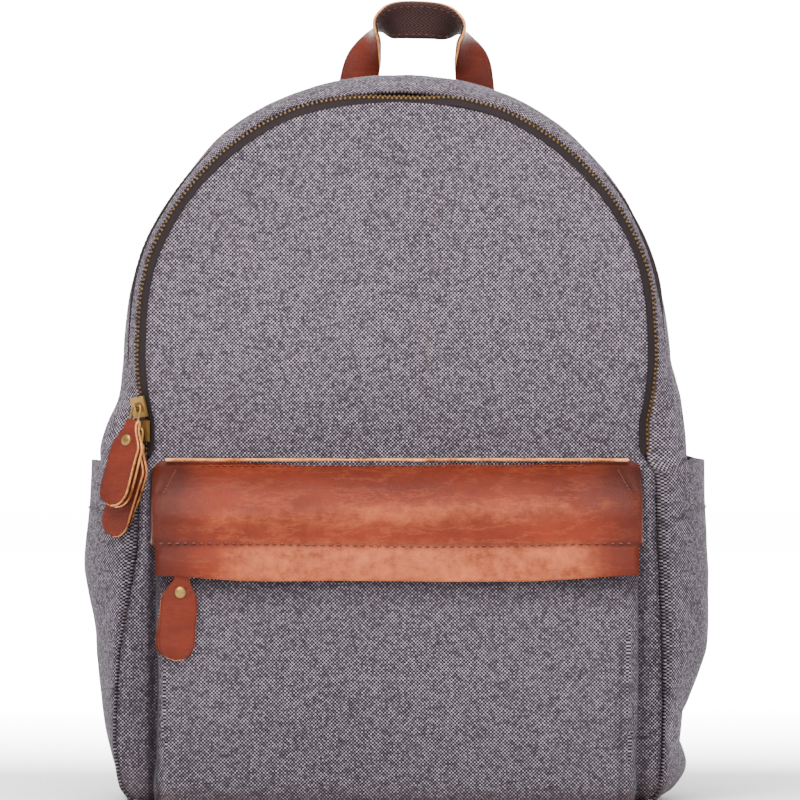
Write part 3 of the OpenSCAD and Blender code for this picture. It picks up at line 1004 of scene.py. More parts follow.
@dataclass
class Shell:
    """Gusset and sides in one strip, from the left foot round the arch to the right foot.

    Attributes:
        rows: Rows along the strip.
        columns: Rows from front to back.
    """

    form: Form
    outline: Outline
    rows: int = 300
    columns: int = 44
    low: float = 2.0
    brow: tuple[Profile, Profile] = (
        Profile(
            (0, 157.5), (10, 157.2), (25, 158), (33, 157.6), (42, 158.7), (52, 161), (68, 160.4), (90, 159.4),
        ),
        Profile(
            (0, 158.4), (10, 156.8), (17, 155.6), (25, 156.4), (33, 158.6), (42, 159.2), (52, 160.8),
            (66, 161.6), (90, 159.4),
        ),
    )

    def station(self, s: float) -> tuple[int, float, Vector, float]:
        """Side, height, outward direction and distance along the strip at s.

        Args:
            s: 0 at the left foot, 1 at the right one.

        Returns:
            Those four.
        """
        f = self.form
        leg = f.arch_z - self.low
        arc = math.pi * f.arch_r
        reach = s * (2 * leg + arc)
        if reach < leg:
            return -1, self.low + reach, Vector((-1, 0, 0)), reach
        if reach > leg + arc:
            return 1, f.arch_z - (reach - leg - arc), Vector((1, 0, 0)), reach
        angle = math.pi - (reach - leg) / f.arch_r
        out = Vector((math.cos(angle), 0, math.sin(angle)))
        return (-1 if out.x < 0 else 1), f.arch_z, out, reach

    def section(self, side: int, z: float, out: Vector, t: float) -> tuple[float, float]:
        """Reach and depth of the strip at one station.

        Args:
            side: -1 for left, 1 for right.
            z: Height.
            out: Outward direction.
            t: 0 at the front edge, 1 at the back one.

        Returns:
            Reach from the middle and Y.
        """
        f = self.form
        arch = out.z > 0
        if arch:
            wide = self.brow[side > 0](math.degrees(math.atan2(out.z, abs(out.x))))
        else:
            wide = lerp(self.outline.side(side, z), self.brow[side > 0](0), smooth(246, 259.5, z))
        near_zip = 1.0 if arch else smooth(193, 206, z)
        edge = (f.arch_r if arch else f.zip_x(z)) + 0.9
        edge = lerp(self.outline.seam(side, z) + 0.4, edge, near_zip)
        edge_y = lerp(f.front + 2.2, f.zip_y - 1.2, near_zip)
        rear = f.arch_r - 7.4 if arch else lerp(140.4, f.arch_r - 7.4, smooth(150, 259.5, z))
        rise, fall = 0.2, 0.66
        y = lerp(edge_y, f.back - 1.5, t ** 1.06)
        if t < rise:
            part = 1 - t / rise
            reach = wide - (wide - edge) * part**2.0
        elif t > fall:
            reach = wide - (wide - rear) * ((t - fall) / (1 - fall)) ** 2.6
        else:
            reach = wide
        return reach, y

    def place(self, s: float, t: float) -> Vector:
        """Place on the strip at s along it and t from front to back."""
        f = self.form
        side, z, out, along = self.station(s)
        reach, y = self.section(side, z, out, t)
        soft = smooth(0, 0.15, t) * smooth(1, 0.85, t)
        reach += soft * (
            0.9 * rumple(along, y, side * 40, 46, 2.0) + 0.35 * rumple(along, y, side * 9, 15, 6.0)
        )
        if out.z > 0:
            reach += f.shoulder(out.x, f.arch_z + out.z) * smooth(0.2, 0, t)
            spot = out * reach
            return Vector((spot.x, y, spot.z + f.arch_z))
        if z < 14:
            reach -= (14 - z) ** 2 * 0.045
        return Vector((side * reach, y, z))

    def shape(self, u: float, v: float) -> Vector:
        """Place for the grid: v along the strip, u from front to back."""
        return self.place(v, u)

    def build(self) -> None:
        """Builds the strip, its lining and its rows of topstitching."""
        f = self.form
        length = self.station(1.0)[3]
        worn: Scalar = lambda u, v: 0.35 * smooth(0.03, 0.0, u) + 0.4 * smooth(0.02, 0.0, min(v, 1 - v))
        # Painted shade along the strip's front edge and, deeper, along its back edge.
        shade: Scalar = lambda u, v: 0.25 * smooth(0.05, 0.0, u) + 0.5 * smooth(0.95, 1.0, u)
        strip = Sheet(
            (self.columns, self.rows), self.shape, (150, length), away_from(0, 0, 200),
            {"wear": worn, "shade": shade}, lambda u, v: (u * 150, v * length),
        )
        strip.piece("gusset", Finish.CANVAS).thicken(1.5).ride(
            "bag", "canvas", "gusset_arch", "side_panel_left", "side_panel_right", "zip_end_left", "zip_end_right"
        )

        def inside(u: float, v: float) -> Vector:
            """Place on the lining inside the strip."""
            p = self.place(0.01 + v * 0.98, 0.2 + u * 0.75)
            centre = Vector((0, p.y, min(p.z, f.arch_z)))
            return p + (centre - p).normalized() * (6.0 + rumple(p.x, p.y, p.z, 30))

        Sheet((24, 150), inside, (120, length), facing(0, 0, 0)).piece("gusset_lining", Finish.COTTON).ride(
            "bag", "lining", "gusset_lining"
        )
        first, last = (196 - self.low) / length, 1 - (196 - self.low) / length
        path = []
        for k in steps(420):
            s = lerp(first, last, k)
            out = self.station(s)[2]
            near, far = self.place(s, 0.09), self.place(s, 0.11)
            path.append(near.lerp(far, 0.5) + out * 0.1 + Vector((0, -0.25, 0)))
        Stitches(2.6, 1.3, 0.65).run("gusset_topstitch", path, Finish.GREY_THREAD).ride("bag", "canvas")
        LOG.info("side strip %.0f mm long, legs %.0f mm", length, f.arch_z - self.low)


@dataclass
class ZipRun:
    """The main zip: two tapes and two rows of teeth round the arch.

    Attributes:
        tape: Width of one tape.
        pitch: Distance from one tooth to the next in its row.
    """

    form: Form
    tape: float = 7.4
    pitch: float = 2.7
    rows: int = 260

    def line(self, s: float) -> tuple[Vector, Vector, Vector]:
        """Place, outward direction and run direction of the zip's line.

        Args:
            s: 0 at the left end, 1 at the right end.

        Returns:
            Those three.
        """
        f = self.form
        sweep = math.radians(105)
        leg, arc = f.leg_z - f.zip_low, 2 * sweep * f.arch_r
        reach = s * (2 * leg + arc)
        if leg < reach < leg + arc:
            turn = -sweep + (reach - leg) / f.arch_r
            out = Vector((math.sin(turn), 0, math.cos(turn)))
            spot = out * f.arch_r + Vector((0, f.zip_y, f.arch_z))
            run = Vector((out.z, 0, -out.x))
        else:
            side = -1 if reach <= leg else 1
            z = f.zip_low + (reach if side < 0 else 2 * leg + arc - reach)
            out = Vector((side, 0, 0))
            spot = Vector((side * f.zip_x(f.leg_z), f.zip_y, z))
            run = Vector((0, 0, -side))
        wave = 0.5 * rumple(spot.x, 0, spot.z, 24, 8.0) + f.shoulder(spot.x, spot.z)
        dip = -2.6 * bell(spot.x, 4, 24) + 1.0 * bell(spot.x, 32, 12) if spot.z > f.arch_z else 0.0
        return spot + out * (wave + dip), out, run

    def length(self) -> float:
        """Length of the zip."""
        return 2 * (self.form.leg_z - self.form.zip_low) + 2 * math.radians(105) * self.form.arch_r

    def spot(self, s: float, t: float, n: float) -> Vector:
        """Place t outward across the tape and n in front of it."""
        at, out, _ = self.line(s)
        return at + (out + Vector((0, 1, 0))) * (t * ROOT_HALF) + (out - Vector((0, 1, 0))) * (n * ROOT_HALF)

    def tooth(self) -> bpy.types.Mesh:
        """Builds one tooth, its head towards +X and its run along Z."""
        bm = bmesh.new()
        bmesh.ops.create_cube(bm, size=1.0, matrix=Matrix.Diagonal((2.1, 1.6, 1.3, 1.0)))
        bmesh.ops.bevel(
            bm, geom=list(bm.edges), offset=0.28, segments=1, affect="EDGES", profile=0.5, material=-1
        )
        mesh = bpy.data.meshes.new("tooth")
        bm.to_mesh(mesh)
        bm.free()
        return mesh

    def teeth(self, row: int, keep: Callable[[float], bool]) -> bmesh.types.BMesh:
        """Sets one row of teeth.

        Args:
            row: -1 for the row on the front panel, 1 for the row on the gusset.
            keep: Says from the height whether a tooth belongs.

        Returns:
            Its mesh in metres.
        """
        bm, one = bmesh.new(), self.tooth()
        count = int(self.length() / self.pitch)
        for k in range(count):
            s = (k + (0.5 if row > 0 else 0.0)) / count
            at, out, run = self.line(s)
            if not keep(at.z):
                continue
            side = (out + Vector((0, 1, 0))) * ROOT_HALF
            face = (out - Vector((0, 1, 0))) * ROOT_HALF
            middle_at = at + side * (row * 0.8)
            turn = Matrix((side, face, run)).transposed().to_4x4()
            start = len(bm.verts)
            bm.from_mesh(one)
            bm.verts.ensure_lookup_table()
            pose = Matrix.Translation(middle_at * MM) @ turn @ Matrix.Scale(MM, 4)
            bmesh.ops.transform(bm, matrix=pose, verts=bm.verts[start:])
        bpy.data.meshes.remove(one)
        return bm

    def build(self) -> None:
        """Builds tapes and teeth; the inner ones stand for the flap's zip nodes."""
        f = self.form
        fold = ((0, f.fold_y, f.fold_z - 12), (0, f.fold_y, f.fold_z + 12))
        long = self.length()
        for row, name in ((-1, "inner"), (1, "outer")):

            def shape(u: float, v: float, row: int = row) -> Vector:
                """Place on this tape, its free edge at u = 1."""
                t = lerp(0.9, self.tape, u) * row
                lift = 0.7 * smooth(0.25, 0.05, u) - 0.15
                return self.spot(v, t, lift + 0.3 * rumple(v * long, u * 9, 0, 14, 4.0) * u)

            tape = Sheet((8, self.rows), shape, (self.tape, long), facing(0, -1, 0)).piece(
                f"zip_tape_{name}", Finish.TAPE
            ).thicken(0.7)
            chain = Piece.of(f"zip_teeth_{name}", self.teeth(row, lambda z: True), Finish.TEETH)
            if row < 0:
                tape.bend(("bag", "front_flap"), *fold, "zip_tape", "zip_tape_flap")
                chain.bend(("bag", "front_flap"), *fold, "hardware", "zip_teeth_flap")
            else:
                tape.ride("bag", "zip_tape", "zip_tape_body")
                chain.ride("bag", "hardware", "zip_teeth_body")


# ---- pulls ----


def swept(
    name: str, path: Sequence[Vector], radius: float, finish: Finish, closed: bool = True, sides: int = 8
) -> Piece:
    """A round wire along a path.

    Args:
        name: Name of the piece.
        path: Places in millimetres.
        radius: Radius of the wire.
        finish: Its finish.
        closed: Whether the path comes back to its start.
        sides: Facets round the wire.

    Returns:
        The wire.
    """
    bm = bmesh.new()
    count = len(path)
    rings = []
    for i, at in enumerate(path):
        after = path[(i + 1) % count] if closed or i + 1 < count else at
        before = path[i - 1] if closed or i else at
        turn = (after - before).to_track_quat("Z", "Y").to_matrix().to_4x4()
        ring = bmesh.ops.create_circle(
            bm, segments=sides, radius=radius * MM, matrix=Matrix.Translation(at * MM) @ turn
        )["verts"]
        rings.append(list({e for vert in ring for e in vert.link_edges}))
    pairs = list(zip(rings, rings[1:])) + ([(rings[-1], rings[0])] if closed else [])
    for a, b in pairs:
        bmesh.ops.bridge_loops(bm, edges=a + b)
    bmesh.ops.recalc_face_normals(bm, faces=bm.faces)
    return Piece.of(name, bm, finish)


def turned(
    name: str, outline: Sequence[tuple[float, float]], at: Vector, along: Vector, finish: Finish, sides: int = 28
) -> Piece:
    """A turned part spun from its half outline.

    Args:
        name: Name of the piece.
        outline: Pairs of radius and height in millimetres, from bottom to top.
        at: Where its foot stands.
        along: Direction of its axis.
        finish: Its finish.
        sides: Facets round it.

    Returns:
        The part.
    """
    bm = bmesh.new()
    verts = [bm.verts.new((r * MM, 0, h * MM)) for r, h in outline]
    edges = [bm.edges.new(pair) for pair in zip(verts, verts[1:])]
    bmesh.ops.spin(
        bm, geom=verts + edges, cent=(0, 0, 0), axis=(0, 0, 1), angle=math.tau, steps=sides, use_merge=True
    )
    bmesh.ops.remove_doubles(bm, verts=bm.verts, dist=1e-6)
    bmesh.ops.recalc_face_normals(bm, faces=bm.faces)
    turn = along.to_track_quat("Z", "X").to_matrix().to_4x4()
    bmesh.ops.transform(bm, matrix=Matrix.Translation(at * MM) @ turn, verts=bm.verts)
    return Piece.of(name, bm, finish)


@dataclass
class Pull:
    """A zip pull: wire ring, folded leather tab and domed rivet.

    Attributes:
        name: First word of its nodes.
        face: Direction that its front looks to.
        width: Width of the tab.
        length: Length of the tab below its fold.
        gap: How far the two leaves stand apart at their lower end.
        shift: Sideways fan of the front leaf.
        sway: How far the lower end hangs towards the left, beyond the frame's own slant.
        lift: How far the lower end stands off the cloth behind it.
    """

    name: str
    face: Vector
    ring: float = 12.0
    width: float = 21.0
    length: float = 49.0
    gap: float = 4.0
    shift: float = 1.0
    sway: float = 0.0
    lift: float = 0.0

    def build(self) -> None:
        """Builds ring, tab and rivet where the frame holds them."""
        body = f"{self.name}_pull"
        pivot = joint(body)
        rivet = middle(f"{self.name}_rivet")
        ring_mid = middle(f"{self.name}_ring")
        down = rivet - pivot
        down -= self.face * down.dot(self.face)
        down.normalize()
        across = self.face.cross(down).normalized()
        base = pivot + self.face * (ring_mid - pivot).dot(self.face)
        half_w, top = 3.3, -1.6
        wire = []
        for k in range(36):
            a = math.tau * k / 36
            x, y = math.cos(a), math.sin(a)
            x, y = (abs(c) ** 0.55 * (1 if c > 0 else -1) for c in (x, y))
            wire.append(base + across * (x * half_w) + down * (top + self.ring / 2 + y * self.ring / 2))
        swept(f"{self.name}_ring_wire", wire, 0.75, Finish.BRASS).ride(body, "hardware", f"{self.name}_ring")
        fold = base + down * (self.ring - 2.6)
        leftward = across if across.x < 0 else -across
        thick = 1.7

        def outline(d: float) -> float:
            """Half width of the tab at a distance below the fold."""
            neck = lerp(4.2, self.width / 2, smooth(1.0, 15.0, d))
            tail = self.length - d
            if tail < self.width / 2:
                neck = min(neck, math.sqrt(max(0.0, (self.width / 2) ** 2 - (self.width / 2 - tail) ** 2)))
            return max(neck, 0.05)

        reach = self.length + 3.0

        def leaf(u: float, v: float) -> Vector:
            """Place on the strip, from one leaf's end over the ring to the other's."""
            run = (2 * v - 1) * reach
            front = run > 0
            d = abs(run) - 3.0
            if d < 0:
                a = (d + 3.0) / 3.0 * math.pi / 2
                back_off, drop = math.sin(a) * (thick / 2 + 0.55), -math.cos(a) * 1.6
                half = 4.2
            else:
                spread = self.gap / 2 if front else self.gap / 4
                back_off = thick / 2 + 0.55 + spread * smooth(6, self.length, d)
                drop, half = d, outline(d)
            sign = 1 if front else -1
            fan = self.shift * smooth(10, self.length, max(d, 0)) * sign
            cup = 0.8 * (u - 0.5) ** 2 * smooth(4, 20, max(d, 0))
            at = fold + down * drop + across * ((2 * u - 1) * half + fan)
            at += (leftward * self.sway + self.face * self.lift) * smooth(4, self.length, d)
            return at + self.face * (sign * back_off + cup + 0.25 * rumple(u * 12, drop, sign * 5, 9, 2.0))

        pull: Scalar = lambda u, v: 0.35 * bell(abs(2 * v - 1) * reach, 4, 3) + 0.12
        # Painted shade along the tab's long edges.
        shade: Scalar = lambda u, v: 0.25 * smooth(0.12, 0.0, min(u, 1 - u))
        tab = Sheet((12, 90), leaf, (21, 104), facing(*self.face), {"pull": pull, "shade": shade})
        bm = tab.mesh()
        middle_vert = max(bm.verts, key=lambda vert: (vert.co / MM).dot(self.face))
        if middle_vert.normal.dot(self.face) < 0:
            bmesh.ops.reverse_faces(bm, faces=bm.faces)
        Piece.of(f"{self.name}_tab_leather", bm, Finish.TAB, Finish.RAW).thicken(thick, 1, 0.0).ride(
            body, "leather", f"{self.name}_tab"
        )
        spot = rivet - self.face * (rivet - base).dot(self.face)
        front_off = thick + 0.55 + self.gap / 2 * smooth(6, self.length, (spot - fold).dot(down))
        dome = [(3.4, -0.4), (3.4, 0.25), (3.0, 0.7), (2.3, 1.15), (1.3, 1.45), (0.5, 1.55), (0.0, 1.57)]
        turned(
            f"{self.name}_rivet_head", dome, spot + self.face * front_off, self.face, Finish.BRASS
        ).ride(body, "hardware", f"{self.name}_rivet")


# ---- front pocket ----


@dataclass
class FrontPocket:
    """The box pocket: canvas face and sides, leather top and storm flap in one hide.

    Attributes:
        half: Half width of the canvas box.
        hide_half: Half width of the leather.
        square: How square its corners are seen from above.
    """

    form: Form
    half: float = 138.6
    hide_half: float = 141.3
    square: float = 15.0
    depth: Profile = Profile((2.5, 27), (6.6, 32.5), (20, 37), (60, 40.2), (100, 38.4), (136, 35), (150, 33))
    hide: Profile = Profile(
        (131, 41.5), (140, 40.6), (151, 37.6), (160, 36.4), (168, 35.2), (176, 31.0), (184, 24.0),
        (190, 15.5), (195.5, 4.5), (198.0, 2.2),
    )
    top: float = 198.0

    def face_y(self, x: float, z: float) -> float:
        """Depth of the canvas face at a place."""
        out = self.depth(z) + 2.6 * max(0.0, 1 - (x / 130) ** 2) * smooth(0, 60, z)
        out += 1.5 * rumple(x, 0, z, 58, 11.0) * smooth(138, 110, abs(x))
        out += 0.4 * rumple(x, 0, z, 19, 12.0)
        for x0, z0, x1, z1, high, wide in (
            (128, 118, 52, 66, 1.6, 7), (118, 92, 66, 40, 1.3, 6), (96, 126, 60, 110, 1.0, 5),
            (-120, 84, -100, 60, 1.2, 7), (-128, 40, -90, 24, 1.4, 7), (20, 30, 96, 22, 1.0, 7),
        ):
            run = Vector((x1 - x0, z1 - z0))
            part = Vector((x - x0, z - z0)).dot(run) / run.length_squared
            off = Vector((x - x0, z - z0)).cross(run) / run.length if 0 <= part <= 1 else 99
            out -= high * bell(off, 0, wide) * math.sin(math.pi * min(1, max(0, part)))
        out += 2.4 * bell(x, 131.5, 3.4) * smooth(8, 30, z) * smooth(112, 84, z)
        out -= 1.6 * bell(x, 124.5, 3.0) * smooth(14, 34, z) * smooth(104, 80, z)
        return self.form.front - out

    def plan(self, u: float, half: float, square: float, open_end: float) -> tuple[float, float]:
        """Squared-off half oval seen from above.

        Args:
            u: 0 at the left end, 1 at the right end.
            half: Half width.
            square: How square it is.
            open_end: 0 where its ends reach the bag, more where they stop short of it.

        Returns:
            Place across and share of the full depth.
        """
        a = math.pi - lerp(open_end, math.pi - open_end, self.spread(u))
        x = math.copysign(abs(math.cos(a)) ** (2 / square), math.cos(a)) * half
        return x, math.sin(a) ** (2 / square)

    @staticmethod
    def spread(u: float) -> float:
        """Spaces the grid so that its face and its corners both get rows."""
        t = 2 * u - 1
        return math.acos(max(-1, min(1, -math.copysign(abs(t) ** 7.5, t)))) / math.pi

    def build(self) -> None:
        """Builds canvas, leather, pocket zip and stitches."""
        self.canvas()
        self.leather()
        self.zip()

    def canvas(self) -> None:
        """Builds the canvas box."""
        f = self.form

        def height(v: float) -> float:
            """Height of a row; the first rows run forward under the pocket."""
            return lerp(3.0, 152.0, (v - 0.1) / 0.9) if v > 0.1 else lerp(2.0, 3.0, v / 0.1)

        def shape(u: float, v: float) -> Vector:
            """Place on the box."""
            z = height(v)
            x, share = self.plan(u, self.half, self.square, 0.0)
            share *= 1.0 if v > 0.1 else math.sin(v / 0.1 * math.pi / 2) * 0.98
            if x > 0:
                x -= 2.2 * smooth(60, 10, z) - 1.4 * bell(z, 14, 10)
            else:
                x += 1.2 * bell(z, 70, 30) - 1.5 * bell(z, 12, 9)
            y = f.front + (self.face_y(x, z) - f.front) * share
            corner = bell(abs(x), 133, 9) * bell(z, 9, 9)
            return Vector((x, min(y, f.front + 1.0) - 1.5 * corner, z - 1.2 * corner))

        def flat(u: float, v: float) -> tuple[float, float]:
            """Cloth place, threads upright on the face."""
            p = shape(u, v)
            side = (p.y - (f.front - 36)) * (1 if p.x > 0 else -1) if abs(p.x) > self.half - 6 else 0.0
            return p.x + max(-38.0, min(38.0, side)) + 400, p.z + (8 * v if v < 0.1 else 8)

        def worn(u: float, v: float) -> float:
            """Browned cloth at the foot and the corners."""
            p = shape(u, v)
            return 0.45 * smooth(16, 3, p.z) + 0.6 * bell(abs(p.x), 134, 5) * smooth(14, 4, p.z)

        def shaded(u: float, v: float) -> float:
            """Painted shade: some over the whole pocket, a painted shadow under the flap, more along the seams
            and at the foot, and a little towards the bottom.
            """
            p = shape(u, v)
            under = 0.4 * smooth(112, 132, p.z)
            seam = 0.5 * bell(p.x, -137.0, 1.6) + 0.35 * bell(p.x, 127.5, 1.8) * smooth(110, 90, p.z)
            return 0.3 + under + seam + 0.28 * smooth(14, 4, p.z) + 0.06 * smooth(80, 20, p.z)

        marks = {"wear": worn, "shade": shaded}
        Sheet((150, 70), shape, (360, 200), away_from(0, -60, 70), marks, flat).piece(
            "pocket_canvas", Finish.CANVAS
        ).thicken(1.4).ride("bag", "canvas", "pocket_front", "pocket_gusset")
        path = []
        for k in steps(60):
            z = lerp(112, 7, k)
            x = 134.6 + 1.6 * smooth(60, 30, z) + 1.2 * bell(z, 22, 9)
            path.append(Vector((x, self.face_y(x, z) - 0.3 + 1.2 * smooth(134, 139, x), z)))
        Stitches(2.4, 1.5, 0.8).run("pocket_seam_right", path, Finish.BLACK_THREAD).ride("bag", "canvas")

    def hide_y(self, x: float, z: float) -> float:
        """Depth of the leather at a place."""
        out = self.hide(z)
        slack = smooth(196, 186, z)
        out += slack * (1.2 * rumple(x, 0, z, 70, 21.0) + 0.5 * rumple(x, 0, z * 1.6, 26, 22.0))
        out += 0.9 * bell(z, 172 + 0.04 * x, 5) * bell(x, -20, 90)
        for mid, lean, deep in (
            (-96, 0.3, 1.3), (-48, -0.2, 0.7), (18, 0.25, 0.8), (64, -0.3, 0.9), (106, 0.2, 1.2),
        ):
            out -= deep * bell(x + (z - 176) * lean, mid, 7) * bell(z, 179, 8)
        return self.form.front - out

    def leather(self) -> None:
        """Builds the hide: sewn top, bulging shoulder and the flap over the pocket's zip."""
        f = self.form

        def lower(x: float) -> float:
            """Height of the flap's lower edge."""
            return 130.6 + 3.2 * smooth(70, 142, abs(x)) + 0.7 * rumple(x, 0, 0, 60, 31.0)

        def shape(u: float, v: float) -> Vector:
            """Place on the hide."""
            opened = 0.62 * smooth(0.36, 0.24, v)
            x, share = self.plan(u, self.hide_half, self.square + 3, opened)
            corner = max(0.0, (abs(x) - (self.hide_half - 9)) / 9)
            drop = 10 * (1 - math.sqrt(max(0.0, 1 - min(1.0, corner) ** 2.4)))
            crown = self.top - drop + 0.5 * rumple(x, 0, 3, 24, 33.0)
            z = lerp(lower(x), crown, v)
            level = z + (self.top - crown) * smooth(0.6, 1.0, v)
            y = f.front + (self.hide_y(x, level) - f.front) * share
            dart = bell(abs(x), 128 + (196 - z) * 0.55, 2.2) * smooth(176, 182, z) * smooth(197, 190, z)
            return Vector((x, y + 1.6 * dart, z))

        def pulled(u: float, v: float) -> float:
            """Where the hide is bent and its wax has gone pale."""
            p = shape(u, v)
            band = 0.46 * bell(p.z, 168 + 0.03 * p.x, 9) * (0.7 + 0.3 * bell(p.x, 20, 80))
            low = 0.66 * smooth(158, 146, p.z) * smooth(-128, -70, p.x)
            ends = smooth(132, 98, abs(p.x))
            star = 0.3 * bell(abs(p.x), 121, 5) * bell(p.z, 174, 4)
            return (band + low) * ends + star

        def shaded(u: float, v: float) -> float:
            """Painted shade on the hide: on the shoulder, at the ends, along the fold's stitching and at the
            flap's lower edge.
            """
            p = shape(u, v)
            top = 0.34 * smooth(176, 186, p.z) * smooth(199, 193, p.z)
            ends = 0.7 * smooth(100, 134, abs(p.x)) + 0.2 * smooth(-100, -140, p.x)
            sewn = 0.4 * bell(p.z, 151.5, 1.3)
            return top + ends + sewn + 0.15 * smooth(133, 130, p.z)

        self.hide_shape = shape
        hide = Sheet(
            (150, 84), shape, (340, 90), facing(0, -1, 0.3), {"pull": pulled, "shade": shaded}
        ).piece("pocket_hide", Finish.LEATHER, Finish.RAW)
        hide.thicken(2.0, 1).bend(
            ("bag", "storm_flap"), (0, f.hood_y, f.hood_z + 3), (0, f.hood_y, f.hood_z - 6),
            "leather", "pocket_leather", "storm_flap",
        )
        rim = [shape(u, 0.955) + Vector((0, -0.7, 0.3)) for u in (lerp(0.12, 0.88, k) for k in steps(160))]
        edge = [shape(lerp(0.036, 0.964, k), 1.0) + Vector((0, -2.3, 0.6)) for k in steps(180)]
        swept("hide_raw_edge", edge, 0.95, Finish.RAW, False).ride("bag", "leather")
        Stitches(2.6, 1.5, 0.75).run("hide_top_stitches", rim, Finish.BROWN_THREAD).ride("bag", "leather")
        fold = []
        for k in steps(150):
            x = lerp(-136, 136, k)
            z = 152.3 - 1.9 * bell(x, 20, 80) + 0.4 * rumple(x, 0, 0, 40, 35.0)
            fold.append(Vector((x, self.hide_y(x, z) - 0.45, z)))
        Stitches(2.9, 1.7, 0.95).run("hide_fold_stitches", fold, Finish.BROWN_THREAD).ride("bag", "leather")
        for side, name in ((-1, "left"), (1, "right")):
            dart = []
            for k in steps(20):
                z = lerp(193.0, 178.0, k)
                x = side * (128 + (196 - z) * 0.55) - side * 3.0
                dart.append(Vector((x, self.hide_y(x, z) + 0.6, z)))
            Stitches(2.2, 0.5, 0.9).run(f"hide_dart_{name}", dart, Finish.BROWN_THREAD).ride("bag", "leather")

    def zip(self) -> None:
        """Builds the pocket's tapes and teeth under the flap."""
        f = self.form
        low, high = node_box("pocket_zip_lower"), node_box("pocket_zip_upper")
        y = min(low[0].y, high[0].y)
        x0, x1 = low[0].x, low[1].x
        seam = (low[1].z + high[0].z) / 2
        for name, nodes, box, sign in (
            ("lower", "pocket_zip_lower", low, -1),
            ("upper", "pocket_zip_upper", high, 1),
        ):
            far = box[0].z if sign < 0 else box[1].z

            def shape(u: float, v: float, far: float = far, sign: int = sign) -> Vector:
                """Place on this tape."""
                return Vector((lerp(x0, x1, u), y + 1.6 - 0.4 * v, lerp(seam + sign * 1.0, far, v)))

            flat: Callable[[float, float], tuple[float, float]] = lambda u, v: (v * 12, u * 280)
            tape = Sheet((70, 4), shape, (12, 280), facing(0, -1, 0), None, flat).piece(
                f"pocket_tape_{name}", Finish.TAPE
            )
            tape.thicken(0.7).ride("bag", "zip_tape", nodes)
        bm = bmesh.new()
        for k in range(int((x1 - x0 - 8) / 1.0)):
            at = Vector((x0 + 4 + k, y + 1.2, seam + (0.8 if k % 2 else -0.8)))
            made = bmesh.ops.create_cube(
                bm, size=MM, matrix=Matrix.Translation(at * MM) @ Matrix.Diagonal((1.0, 1.6, 2.2, 1.0))
            )["verts"]
            edges = list({e for vert in made for e in vert.link_edges})
            bmesh.ops.bevel(
                bm, geom=edges, offset=0.25 * MM, segments=1, affect="EDGES", profile=0.5, material=-1
            )
        Piece.of("pocket_teeth", bm, Finish.TEETH).ride("bag", "hardware")


# ---- side pockets ----


